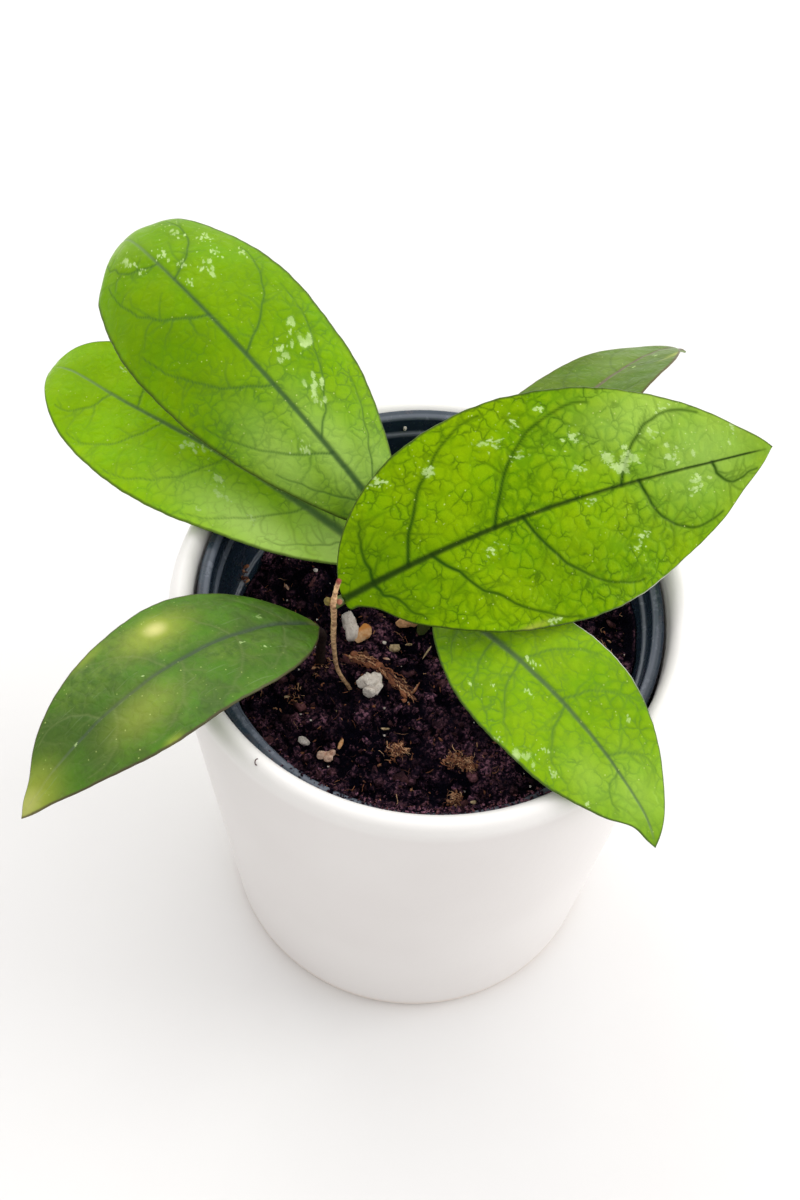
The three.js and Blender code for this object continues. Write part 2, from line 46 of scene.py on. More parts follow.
# Cover pot: a tapered cup with a rounded lip
COVER_HEIGHT = 122
COVER_RIM_RADIUS = 59
COVER_LIP_DROP = 3.3
COVER_MOUTH_RADIUS = 53.7
COVER_BASE_RADIUS = 48.7
COVER_FOOT_FILLET = 3
COVER_FLOOR_THICKNESS = 6
COVER_FLOOR_RADIUS = 45.2
COVER_SEGMENTS = 192

# Nursery pot: thin walls with two stacking ledges and a folded rim, leaning towards the front
NURSERY_RIM_CENTRE = (0, 0.5, 118.2)
NURSERY_LEAN_FRONT = 6.2
NURSERY_LEAN_RIGHT = 1.9
NURSERY_RIM_RADIUS = 53
NURSERY_RIM_THICKNESS = 1.9
NURSERY_RIM_ROUND = 1
# Inside this radius the rim takes dust and painted highlight
RIM_DUST_AND_HIGHLIGHT_RADIUS = 51.5
NURSERY_SKIRT_DEPTH = 8
NURSERY_SKIRT_WALL = 1.1
NURSERY_SKIRT_DRAFT = 0.4
NURSERY_WALL = 1.2
NURSERY_FLOOR_RADIUS = 32
NURSERY_UPPER_LEDGE_DEPTH = 4.6
NURSERY_LOWER_LEDGE_DEPTH = 21
NURSERY_LEDGE_WIDTH = 0.9
NURSERY_LEDGE_FALL = 0.35
NURSERY_THROAT_RADIUS = 49.6
NURSERY_THROAT_FLARE = 0.6
NURSERY_LEDGE_RADIUS = 46.9
NURSERY_FILLET = 0.9
NURSERY_SEGMENTS = 192
DRAIN_COUNT = 6
DRAIN_RADIUS = 3.5
DRAIN_CIRCLE_RADIUS = 22
DRAIN_SIDES = 32

# Soil: its top is lower on the left, and lumpy
SOIL_DEPTH = 16.5
SOIL_RISE_TO_RIGHT = 0.16
SOIL_WAVES = [(0.45, 0.31, 0.27, 0.9), (0.45, 0.31, -0.27, 1.7), (0.54, 0.53, -0.35, 2.1),
              (0.45, 0.18, 0.61, 1.57)]
SOIL_CLEARANCE = 0.4
SOIL_FLOOR_DEPTH = 100
# Painted shade: the soil's colour goes from black to full between these heights below and above its smooth
# top
HOLLOW_HEIGHT = -0.9
CLOD_HEIGHT = 0.7
SOIL_SPREAD = 48
# Heaps of clods, crumbs and grains: seed, height, and how far apart they lie. Then all of it sinks a little
SOIL_HEAPS = [(1, 2.7, 8), (2, 1.3, 3.2), (3, 0.5, 1.1)]
RELIEF_SINK = 3.6
# Painted shadow of the lower right leaf on the soil: its middle and how far it spreads
LEAF_SHADOW_PLACE = (1, -19)
LEAF_SHADOW_SPREAD = 11
SOIL_RINGS = 150
SOIL_SEGMENTS = 480

# The main stem and the thin shoot in front of it
STEM_RADIUS = 1.6
STEM_LOWER_NODE = (-1, 5.5, 114)
STEM_UPPER_NODE = (-1.6, 5.7, 121.5)
STEM_PATH = [(-0.5, 5, 84), (-1.4, 4.6, 100), STEM_LOWER_NODE, STEM_UPPER_NODE, (-1.8, 5.6, 125.5)]
SHOOT_RADIUS = 0.65
SHOOT_STEPS = 110
SHOOT_NODE = (-20.4, -17.3, 140.4)
SHOOT_PATH = [(-14.5, -9.6, 88), (-17.6, -11, 98.2), (-20, -12.1, 107), (-20.8, -13.1, 119),
              (-20.6, -14.8, 131), SHOOT_NODE, (-20.1, -17.1, 144.4), (-19.4, -16.6, 148)]

# Leaf blades share their thickness and the roundness of their base
BLADE_BASE_POWER = 0.65
MIDRIB_THICKNESS = 1.1
MARGIN_THICKNESS = 0.7
NARROWEST_HALF_WIDTH = 0.5
CURL_START = 0.5
HOOK_START = 0.86
PETIOLE_RADIUS = 1.0
PETIOLE_STEPS = 60
# Where a petiole runs under its blade: share of the length, and how deep
PETIOLE_ROOT = [(0.2, 0.75), (0.13, 0.95), (0.06, 1.15), (0.015, 1.25)]
SPINE_STEPS = 400
ROW_SPACING = 0.38
COLUMN_SPACING = 0.4
UNDERSIDE_COLUMN_STEP = 4
EDGE_ROUND = 0.4
KEEL_DEPTH = 0.5
MIDRIB_GROOVE = 0.2
VEIN_GROOVE = 0.08
UNDERSIDE_GROOVE = 0.12
QUILT_HEIGHT = 0.1
WAVE_HEIGHT = 0.35

# What most leaves share: no swerve or hook, no pinched or trimmed edge, and no patches
USUAL_LEAF = dict(hook=0, swerve=0, skew_power=1.08, tip_pinch=(0, 0), base_pinch=(0, 0), trims=[],
                  petiole=[], blushes=[], blooms_and_sheens=[], shades=[], painted_glints=[])
# Each leaf: its blade's start, heading (0 along +X, 90 along +Y), rise, arch, curl, hooked tip, sideways
# sweep, roll and twist, then length, width, tip bluntness, where it is widest, and its cross fold. A swerve
# turns the tip sideways, pinches narrow the left and right edge near the tip and the base, and each trim
# moves one edge out or in: share of the length, edge, distance and spread. The petiole's points lead from
# the blade to its foot on a node, or into the soil. Each vein gives where it leaves the midrib, where it
# ends, and how far out. It is vein_width broad where it starts, and has its branches. The net of fine veins
# fades out between the two shares net_fade. Splashes are groups of silvery flecks: share of the length and
# of the half width, and radius. Blushes are yellow patches, blooms are waxy bloom with painted sheen, shades
# are darker ones and glints are painted highlights on the margin: place, two radii and strength.
LEAVES = {
    "leaf_upper_left": dict(
        base=(-9.5, 11.5, 128.5), heading=149, pitch=43, arch=53, curl=7, hook=75, sweep=-18, roll=15,
        twist=2, length=104.3, width=44.5, tip_power=0.58, skew_power=1.16, lopside=-0.08, fold=1, cup=-18,
        petiole=[(-6.8, 9.9, 125.6)], foot=STEM_UPPER_NODE,
        right_veins=[(0.09, 0.32, 0.8), (0.26, 0.59, 0.82), (0.5, 0.73, 0.86), (0.74, 0.9, 0.7)],
        left_veins=[(0.08, 0.26, 0.8), (0.22, 0.44, 0.85), (0.41, 0.66, 0.77), (0.62, 0.86, 0.7),
                    (0.8, 0.93, 0.6)],
        splashes=[(0.85, 0.53, 2.2), (0.8, 0.71, 2.4), (0.74, 0.59, 1.8), (0.71, 0.8, 1.5),
                  (0.81, 0.11, 1.8), (0.76, 0.19, 1.4), (0.71, 0.38, 2.6), (0.86, -0.27, 2.2),
                  (0.81, -0.2, 1.2), (0.71, 0.09, 1.2), (0.47, 0.55, 4.2), (0.45, 0.3, 3), (0.36, 0.34, 3),
                  (0.33, 0.25, 1.5), (0.27, -0.27, 1.8)],
        blooms_and_sheens=[(0.27, -0.6, 13, 6, 0.9), (0.2, 0.05, 16, 6, 1.1), (0.12, 0.5, 12, 7, 1.0),
                (0.95, -0.2, 7, 6, 0.5)],
        shades=[(0.57, -0.4, 16, 9, 0.4), (0.5, 0.4, 12, 6, 0.3)], net_fade=(0.3, 0.75), vein_width=0.3,
        branches=8, midrib_growth=0.85, look="lime", seed=11,
    ),
    "leaf_left": dict(
        base=(-12, 9.5, 119), heading=152, pitch=18, arch=37, curl=-34, hook=60, sweep=-2, roll=2, twist=8,
        length=98.7, width=41, tip_power=0.6, lopside=-0.04, fold=5, cup=-5,
        petiole=[(-7.8, 7.6, 117.2)], foot=STEM_LOWER_NODE,
        right_veins=[(0.14, 0.36, 0.8), (0.35, 0.55, 0.82), (0.55, 0.74, 0.85), (0.72, 0.86, 0.8)],
        left_veins=[(0.08, 0.24, 0.85), (0.22, 0.46, 0.93), (0.45, 0.68, 0.92), (0.64, 0.82, 0.9),
                    (0.8, 0.9, 0.8)],
        splashes=[(0.53, -0.12, 2.8), (0.42, -0.79, 1.2), (0.43, -0.31, 2.2), (0.39, -0.5, 2),
                  (0.3, -0.61, 1.2), (0.82, 0.44, 1)],
        blooms_and_sheens=[(0.26, -0.75, 20, 6, 1.7), (0.1, -0.5, 13, 8, 1.6)],
        # The first shade is painted shadow of the upper left leaf on the half beneath it, and the broad
        # midrib near the base is partly that painted shadow
        shades=[(0.4, 0.5, 20, 5, 0.5), (0.92, 0.0, 14, 18, 0.5)], net_fade=(0.3, 0.8), vein_width=0.28,
        branches=6, midrib_growth=1.7, look="pale", seed=12,
    ),
    "leaf_right": dict(
        base=(-18.5, -16.5, 141), heading=32, pitch=14, arch=28, curl=-12, sweep=-7, roll=-31, twist=-19,
        length=104, width=51, tip_power=0.88, lopside=0.14, fold=5, cup=-5,
        foot=SHOOT_NODE, tip_pinch=(0.05, 0.1),
        trims=[(0.0, 1, 2.0, 0.014), (0.052, 1, -1.5, 0.03), (0.62, 1, 0.6, 0.12)],
        right_veins=[(0.066, 0.14, 0.85), (0.2, 0.47, 0.95), (0.406, 0.65, 0.88), (0.675, 0.86, 0.85),
                     (0.85, 0.95, 0.7)],
        left_veins=[(0.07, 0.1, 0.8), (0.147, 0.38, 0.92), (0.344, 0.6, 0.86), (0.634, 0.83, 0.9)],
        splashes=[(0.64, -0.27, 4.6), (0.77, -0.25, 2.8), (0.81, 0.2, 2.2), (0.8, 0.29, 1.6),
                  (0.91, -0.85, 2.2), (0.72, -0.54, 1.5), (0.5, -0.84, 1.4), (0.44, -0.78, 1.4),
                  (0.55, -0.24, 1.8), (0.55, -0.57, 2.2), (0.56, 0.06, 1.4), (0.26, -0.69, 1.8),
                  (0.17, -0.91, 1.8), (0.4, 0.95, 1.9), (0.65, 0.49, 1.8), (0.64, 0.58, 1.4),
                  (0.39, -0.68, 2.2), (0.44, -0.5, 1.4), (0.32, 0.21, 1.8), (0.75, -0.85, 1.2)],
        blushes=[(0.33, 1.0, 7, 1.0, 0.9)], blooms_and_sheens=[(0.84, -0.3, 15, 12, 0.75), (0.72, -0.75, 14, 8, 0.8)],
        shades=[(0.04, -0.1, 20, 16, 1.0), (0.46, 0.5, 16, 8, 0.6)], painted_glints=[(0.68, 1, 18, 2, 1.0)],
        net_fade=(0.6, 1.0), vein_width=0.5, branches=13, midrib_growth=0.85, look="bright", seed=13,
    ),
    "leaf_lower_right": dict(
        base=(1, -4.5, 126.5), heading=-36, pitch=10, arch=31, curl=8, hook=14, sweep=-18, swerve=-15,
        roll=2, twist=-6, length=73.5, width=34.5, tip_power=0.97, lopside=0.02, fold=5,
        cup=-6, petiole=[(-0.6, -1.4, 125)], foot=STEM_UPPER_NODE, tip_pinch=(0, 0.28),
        trims=[(0.26, -1, -1.0, 0.15), (0.68, 1, 0.8, 0.13)],
        right_veins=[(0.1, 0.2, 0.8), (0.23, 0.33, 0.84), (0.33, 0.5, 0.8), (0.52, 0.71, 0.78),
                     (0.76, 0.86, 0.6)],
        left_veins=[(0.14, 0.3, 0.85), (0.33, 0.53, 0.95), (0.5, 0.66, 0.85), (0.71, 0.82, 0.75)],
        splashes=[(0.57, 0.88, 3.2), (0.48, 0.97, 1.1), (0.66, 0.78, 1.2), (0.59, 0.62, 0.9),
                  (0.66, -0.62, 1.1), (0.35, -0.09, 1.6), (0.29, 0.76, 0.8), (0.34, 0.54, 0.8),
                  (0.42, 0.26, 0.9), (0.79, 0.88, 0.9)],
        blooms_and_sheens=[(0.75, 0.5, 8, 5, 0.4), (0.84, 0.0, 9, 7, 0.5)], shades=[(0.05, 0.0, 8, 9, 0.6)],
        painted_glints=[(0.42, -1, 20, 2, 1.0)], net_fade=(0.7, 1.1), vein_width=0.32, branches=8,
        midrib_growth=1.0, look="fresh", seed=14,
    ),
    "leaf_lower_left": dict(
        base=(-25, -5.5, 113.5), heading=217, pitch=46, arch=86, curl=-4, sweep=18, roll=-11, twist=5,
        length=87, width=34.5, tip_power=0.92, lopside=-0.02, fold=6, cup=-6,
        petiole=[(-24.2, -5, 109.8), (-24.6, -4.6, 103), (-25, -4.2, 88)], foot=None, tip_pinch=(0.1, 0.2),
        base_pinch=(0.35, 0.4), trims=[(0.08, 1, -0.7, 0.07), (0.1, -1, -0.7, 0.07), (0.64, -1, 0.6, 0.12)],
        right_veins=[(0.12, 0.25, 0.8), (0.31, 0.44, 0.75), (0.5, 0.68, 0.86), (0.7, 0.85, 0.8)],
        left_veins=[(0.15, 0.3, 0.8), (0.3, 0.46, 0.84), (0.46, 0.66, 0.84), (0.66, 0.82, 0.8)],
        splashes=[(0.3, -0.21, 0.6), (0.78, 0, 0.5), (0.2, 0.24, 0.9), (0.26, -0.45, 0.6),
                  (0.56, 0.1, 0.4)],
        blushes=[(0.459, 0.57, 10.0, 5.2, 0.75), (0.452, 0.6, 5.0, 4.0, 1.18), (0.62, -0.36, 11, 6.5, 0.55),
                 (0.93, -0.25, 6, 3.5, 0.7), (0.62, 0.95, 7, 2, 0.5), (0.62, -0.98, 3, 1.5, 0.7),
                 (0.97, 0.0, 10, 7, 1.0), (0.02, 0.0, 3, 2, 0.4)],
        shades=[(0.75, 0.1, 14, 8, 0.8), (0.3, -0.7, 12, 5, 0.7)], net_fade=(0.6, 1.1), vein_width=0.28,
        branches=7, midrib_growth=0.75, look="dark", seed=15,
    ),
    "leaf_back_right": dict(
        base=(5, 19, 121), heading=55, pitch=24, arch=53, curl=7, sweep=-4, swerve=-26, roll=14, twist=13,
        length=91, width=28.5, tip_power=0.93, lopside=-0.02, fold=8, cup=-1,
        petiole=[(2, 14.2, 118), (0.2, 9.6, 115.6)], foot=STEM_LOWER_NODE, tip_pinch=(0.05, 0.15),
        trims=[(0.75, -1, -0.5, 0.2)],
        right_veins=[(0.12, 0.3, 0.8), (0.3, 0.5, 0.85), (0.5, 0.68, 0.85), (0.7, 0.84, 0.8)],
        left_veins=[(0.1, 0.28, 0.8), (0.28, 0.48, 0.85), (0.46, 0.66, 0.85), (0.66, 0.82, 0.8)],
        splashes=[(0.8, 0.3, 0.8), (0.7, 0.2, 0.6)], blushes=[(0.85, 0.98, 9, 0.8, 0.8)],
        blooms_and_sheens=[(0.7, -0.3, 10, 5, 0.3)], net_fade=(0.5, 1.0), vein_width=0.3, branches=5,
        midrib_growth=1.0, look="dull", seed=16,
    ),
}

# What most looks share, then the colours of each and how strong its details are
USUAL_LOOK = dict(under=(0.2, 0.33, 0.06), rim=0.85, sheen=(0.75, 1, 0.12, 1), mottle=0.3, scratches=0.0,
                  pale_midrib=0.0, slot="leaf_lime")
LOOKS = {
    "lime": dict(
        light=(0.19, 0.365, 0.001), deep=(0.125, 0.275, 0.001), vein=(0.04, 0.115, 0.025),
        midrib=(0.045, 0.105, 0.035), margin=(0.03, 0.045, 0.012), net=0.46, lines=0.9, rim=1.5,
        pale_midrib=0.9,
    ),
    # A lighter copy of the lime look: painted light on the left leaf
    "pale": dict(
        light=(0.29, 0.52, 0.001), deep=(0.21, 0.42, 0.001), vein=(0.06, 0.15, 0.03),
        midrib=(0.08, 0.16, 0.05), margin=(0.06, 0.1, 0.02), net=0.45, lines=0.75, rim=1.0, pale_midrib=0.8,
    ),
    "bright": dict(
        light=(0.235, 0.4, 0.0), deep=(0.125, 0.27, 0.0), vein=(0.012, 0.058, 0.002),
        midrib=(0.004, 0.024, 0.003), margin=(0.03, 0.05, 0.012), net=0.5, lines=1.1,
        under=(0.23, 0.36, 0.06),
    ),
    "fresh": dict(
        light=(0.215, 0.385, 0.004), deep=(0.15, 0.305, 0.002), vein=(0.06, 0.145, 0.03),
        midrib=(0.07, 0.13, 0.05), margin=(0.045, 0.075, 0.025), net=0.4, lines=0.75,
        under=(0.22, 0.35, 0.06), sheen=(0.75, 1, 0.2, 1), pale_midrib=0.5,
    ),
    "dark": dict(
        light=(0.115, 0.215, 0.018), deep=(0.05, 0.112, 0.012), vein=(0.17, 0.22, 0.07),
        midrib=(0.055, 0.09, 0.045), margin=(0.075, 0.045, 0.035), net=0.18, lines=0.5,
        under=(0.15, 0.22, 0.07), rim=0.9, sheen=(0.9, 1, 0.85, 1), mottle=0.8, scratches=0.2,
        pale_midrib=0.35, slot="leaf_dark",
    ),
    "dull": dict(
        light=(0.115, 0.195, 0.012), deep=(0.08, 0.145, 0.008), vein=(0.055, 0.1, 0.025),
        midrib=(0.17, 0.13, 0.1), margin=(0.1, 0.06, 0.04), net=0.25, lines=0.6, under=(0.18, 0.27, 0.07),
        sheen=(0.75, 1, 0.3, 1), mottle=0.4, scratches=0.1, slot="leaf_dull",
    ),
}

# Bits that lie half sunk in the soil: place on the soil, three radii, turn about +Z, how many planes cut
# each lobe, and its lobes, as places and sizes in shares of the radii
CRUMBS = {
    "perlite_large": dict(
        at=(-12.4, -11.5), radii=(2.9, 2.9, 2.9), turn=20, look="perlite", cuts=11,
        lobes=[(0, 0, 0, 0.88), (0.5, 0.35, 0.1, 0.6), (-0.55, 0.25, 0.1, 0.56), (-0.2, -0.55, 0, 0.56),
               (0.4, -0.45, 0, 0.52), (0.0, 0.58, 0.1, 0.5)],
    ),
    "perlite_tall": dict(
        at=(-18.7, 4.1), radii=(1.9, 4, 2.2), turn=8, look="perlite", cuts=7,
        lobes=[(-0.06, 0.34, 0.1, (1, 0.7, 1)), (0.1, -0.42, 0.0, (1, 0.6, 1)),
               (0.0, 0.0, 0.0, (0.85, 0.6, 0.95))],
    ),
    "perlite_small": dict(at=(-26.4, -25), radii=(1.7, 1.1, 1.2), turn=-15, look="perlite", cuts=14),
    "chip_orange": dict(at=(-15.5, 2.2), radii=(1.9, 2.7, 1.5), turn=-24, look="chip_orange", cuts=10),
    "chip_tan": dict(
        at=(-5.3, 5.9), radii=(2.7, 2, 2), turn=0, look="chip_tan", cuts=9,
        lobes=[(-0.1, 0, 0, 0.95), (0.45, -0.2, 0, 0.6)],
    ),
    "chip_beige": dict(at=(-7.7, -0.6), radii=(1.35, 1.3, 1.2), turn=0, look="chip_beige", cuts=7),
    "chip_pale": dict(
        at=(-20.5, -28.4), radii=(2.3, 1.9, 1.6), turn=25, look="chip_pale", cuts=8,
        lobes=[(-0.5, 0.25, 0, 0.55), (0.5, 0.2, 0, 0.5), (0.0, -0.4, 0, 0.5), (0, 0, -0.2, 0.6)],
    ),
}
CRUMB_SUNK = 0.3
# Bark chips: light and dark colour, how fine the grain is, and the colour of a red end
CHIP_LOOKS = {
    "chip_orange": ((0.9, 0.62, 0.36), (0.62, 0.25, 0.07), 0.5, (0.72, 0.28, 0.06)),
    "chip_tan": ((0.95, 0.56, 0.28), (0.42, 0.2, 0.09), 0.7, (0.0, 0.0, 0.0)),
    "chip_beige": ((0.72, 0.55, 0.33), (0.24, 0.16, 0.08), 0.9, (0.0, 0.0, 0.0)),
    "chip_pale": ((1.0, 0.74, 0.58), (0.5, 0.26, 0.18), 0.8, (0.0, 0.0, 0.0)),
}
# Smaller bits that lie loose: place on the soil, length, breadth, turn about +Z and look
SPLINTERS = [
    (-4.5, -0.5, 1.7, 0.7, 10, "chip_beige"), (-10.2, 0.8, 1.0, 0.9, 0, "perlite"),
    (-9.2, -4.9, 1.9, 0.6, -5, "chip_pale"), (-0.1, -1.9, 4.2, 0.45, 65, "chip_beige"),
    (-28.5, 6.0, 1.4, 1.1, -30, "chip_pale"), (-26.6, -1.9, 1.2, 0.9, 20, "perlite"),
    (-25.3, -0.6, 2.2, 1.2, 60, "chip_orange"), (-17.8, -26.1, 3.2, 1.0, 75, "chip_orange"),
    (-8.2, -21.5, 2.4, 0.6, 5, "chip_beige"), (-31.5, -14.0, 1.6, 0.7, 10, "chip_beige"),
    (-19.5, -17.5, 1.8, 0.5, 80, "chip_beige"), (-35, 14.5, 2.0, 0.8, -60, "chip_pale"),
    (-28.4, 18.5, 1.3, 1.2, 0, "perlite"), (-23.5, 12, 1.8, 0.8, 40, "chip_orange"),
    (13.2, -38.5, 1.4, 1.0, 0, "chip_beige"),
]
# Loose soil: piece, how many grains, smallest and largest size, and how finely each ball is cut
SOIL_GRAINS = [("soil_clods", 1200, 0.4, 1.9, 2), ("soil_crumbs", 6500, 0.16, 0.5, 1)]
SCATTER_RADIUS = 45.5
# Crumbs spilt on the rim: how many, and the middle and the spread of the angle that they lie at
SPILT_CRUMBS = 900
SPILT_ANGLE = (-84, 17)
PERLITE_GRAINS = 60
LOOSE_FIBRES = 520
LOOSE_FLAKES = 420
FLAKES_IN_A_PATCH = 9
# Tufts of coir: place, how many fibres, and how far they spread
TUFTS = [(-4.7, -27, 110, 2.2), (8, -29.5, 90, 2.2), (11.5, -30.5, 70, 2), (9.4, -38.4, 60, 1.4),
         (38, -2, 40, 5), (33, -8, 40, 5), (-24, -6, 20, 3), (-29, 3, 20, 3), (-30, -14, 20, 3)]
# Flakes of soil on the nursery pot's wall, a grain on its ledge and a hair on the cover pot's lip
WALL_FLAKES = [((-45.7, 16.1, 102.4), 1.5), ((-45.3, 15.2, 100.2), 1.7), ((-45.2, 15.2, 98), 0.8)]
LEDGE_GRAIN = (-10.3, 49.2, 120.4)
LIP_HAIR = (-33.3, -46.3, 122.03)
# The bark strip: its route, knots as a step of the route and a girth, loose crumbs, and a side twig
BARK_ROUTE = [(-18, -4.5), (-12, -6.3), (-6.5, -10.4), (-2.1, -14.2)]
BARK_STEPS = 70
BARK_STRANDS = 95
BARK_KNOTS = [(2, 0.35), (8, 0.6), (15, 0.75), (22, 0.7), (29, 0.9), (36, 1.2), (43, 1.25), (50, 1.1),
              (57, 0.8), (64, 0.5)]
BARK_CRUMBS = [(-17.1, -3.9, 1.0), (-14.2, -3.7, 1.05), (-11.0, -6.6, 1.0), (-5.2, -11.2, 0.7),
               (-4.4, -15.0, 0.7)]
BARK_TWIG = [(-4, -13.4), (-2.6, -12.2), (-1.5, -10)]
# The shoot's two buds: place and three radii
LARGE_BUD = ((-21.7, -17.2, 140.9), (0.85, 0.8, 1.1))
SMALL_BUD = ((-19.2, -17.4, 141.3), (0.6, 0.6, 0.8))

# Camera that matches the photograph's view of the pot's two rims and foot
IMAGE_HEIGHT = 1200
FOCAL_PIXELS = 1700
SENSOR = 36
CAMERA_DISTANCE = 380
CAMERA_ELEVATION = 55
CAMERA_AIM_HEIGHT = 122
CAMERA_YAW = 1.08
CAMERA_PITCH = -0.26
CAMERA_ROLL = -5.21

# Soft room light: the brightest part of the sky, its strengths, and the windows' places, sizes and powers
BRIGHTEST_SKY = (0.2, 0.5, 0.85)
SKY_DARKEST = 0.05
SKY_BRIGHTEST = 1.45
WINDOWS = [("right_window", (1.7, 0.3, 0.8), 1.0, 12), ("left_window", (-0.8, 1.3, 1.8), 1.2, 6)]


def smoothstep(low, high, value):
    share = np.clip((value - low) / (high - low), 0, 1)
    return share * share * (3 - 2 * share)


def turns(count):
    """Angles that go once round in equal steps."""
    return np.arange(count) * 2 * np.pi / count


def ring(radius, angle, height):
    """Points at a distance and an angle round the axis, at a height."""
    return np.stack(np.broadcast_arrays(radius * np.cos(angle), radius * np.sin(angle), height), -1)


def spun(points, degrees):
    """The points turned about +Z."""
    return points @ np.array(Matrix.Rotation(math.radians(degrees), 3, "Z")).T


def make_object(name, points, faces, slot, finish, replaces=None, smooth=True, **numbers):
    """A piece from points in millimetres, which rides on the frame's only body and may replace a node."""
    mesh = bpy.data.meshes.new(name)
    mesh.from_pydata((np.asarray(points) * MM).tolist(), [], [list(map(int, face)) for face in faces])
    mesh.validate()
    mesh.polygons.foreach_set("use_smooth", [smooth] * len(mesh.polygons))
    mesh.update()
    mesh.materials.append(finish)
    piece = bpy.data.objects.new(name, mesh)
    bpy.context.scene.collection.objects.link(piece)
    add_numbers(piece, **numbers)
    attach(piece, "root")
    if replaces:
        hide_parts(replaces)
    return piece


def add_numbers(piece, **numbers):
    """Numbers, or vectors, for each point of the mesh, which the material reads by name."""
    for name, values in numbers.items():
        values = np.asarray(values, np.float32)
        kind, field = ("FLOAT", "value") if values.ndim == 1 else ("FLOAT_VECTOR", "vector")
        piece.data.attributes.new(name, kind, "POINT").data.foreach_set(field, values.ravel())


def add_second_finish(piece, finish, first_face):
    """Another material for the faces from the given one on."""
    piece.data.materials.append(finish)
    slots = np.zeros(len(piece.data.polygons), int)
    slots[first_face:] = 1
    piece.data.polygons.foreach_set("material_index", slots)


class Gathered:
    """Closed shapes gathered into one mesh, with a number or an array of numbers for the points of each."""

    def __init__(self):
        self.points = []
        self.faces = []
        self.numbers = {}
        self.size = 0

    def add(self, points, faces, **numbers):
        self.points.append(np.asarray(points))
        self.faces.extend([[self.size + corner for corner in face] for face in faces])
        self.size += len(points)
        for name, values in numbers.items():
            values = np.broadcast_to(values, (len(points), *np.shape(values)[1:]))
            self.numbers.setdefault(name, []).append(values)

    def make(self, name, slot, finish, replaces=None, smooth=True):
        points = np.vstack(self.points)
        numbers = {number: np.concatenate(values) for number, values in self.numbers.items()}
        return make_object(name, points, self.faces, slot, finish, replaces, smooth, **numbers)


def smooth_route(points, count):
    """Points spread along a Catmull-Rom curve through the given ones."""
    points = np.array(points, float)
    ends = np.vstack([2 * points[0] - points[1], points, 2 * points[-1] - points[-2]])
    place = np.linspace(0, len(points) - 1, count)
    index = np.minimum(place.astype(int), len(points) - 2)
    u = (place - index)[:, None]
    a, b, c, d = ends[index], ends[index + 1], ends[index + 2], ends[index + 3]
    bend, twist = 2 * a - 5 * b + 4 * c - d, 3 * b - a - 3 * c + d
    return 0.5 * (2 * b + (c - a) * u + bend * u ** 2 + twist * u ** 3)


def ring_faces(rows, segments):
    """Quads between rows of points round an axis, and fans to the two end points that follow them."""
    faces = []
    for row in range(rows - 1):
        for step in range(segments):
            a, b = row * segments + step, row * segments + (step + 1) % segments
            faces.append((a, b, b + segments, a + segments))
    last, end = (rows - 1) * segments, rows * segments
    for step in range(segments):
        other = (step + 1) % segments
        faces.append((end, other, step))
        faces.append((end + 1, last + step, last + other))
    return faces


def tube(route, radii, sides):
    """Points and faces of a closed round bar along the route."""
    route = np.asarray(route, float)
    along = np.gradient(route, axis=0)
    along /= np.linalg.norm(along, axis=1)[:, None]
    across = np.cross(along[0], (0.3, 0.2, 1))
    turn = turns(sides)[:, None]
    points = []
    for place, direction, radius in zip(route, along, np.broadcast_to(radii, len(route))):
        across = across - direction * (across @ direction)
        across /= np.linalg.norm(across)
        other = np.cross(direction, across)
        points.append(place + radius * (np.cos(turn) * across + np.sin(turn) * other))
    return np.vstack([*points, route[0], route[-1]]), ring_faces(len(route), sides)


def turned(profile, segments):
    """Surface of revolution about +Z from (radius, height) pairs, which start and end on the axis."""
    radius, height = np.array(profile[1:-1], float).T[:, :, None]
    rings = ring(radius, turns(segments), height)
    points = np.vstack([rings.reshape(-1, 3), (0, 0, profile[0][1]), (0, 0, profile[-1][1])])
    return points, ring_faces(len(rings), segments)


def rounded(corners, radius, steps=4):
    """The (radius, height) corners of a profile with each inner corner eased by a small fillet."""
    corners = [np.array(corner, float) for corner in corners]
    eased = [corners[0]]
    for before, corner, after in zip(corners, corners[1:], corners[2:]):
        back, ahead = before - corner, after - corner
        reach = min(radius, 0.45 * np.linalg.norm(back), 0.45 * np.linalg.norm(ahead))
        start = corner + back / np.linalg.norm(back) * reach
        end = corner + ahead / np.linalg.norm(ahead) * reach
        for u in np.linspace(0, 1, steps + 1):
            eased.append((1 - u) ** 2 * start + 2 * u * (1 - u) * corner + u ** 2 * end)
    return [*eased, corners[-1]]


def toned(colour, factors):
    """The colour with its channels multiplied by one factor, or by three."""
    return tuple(np.multiply(colour, factors).tolist())


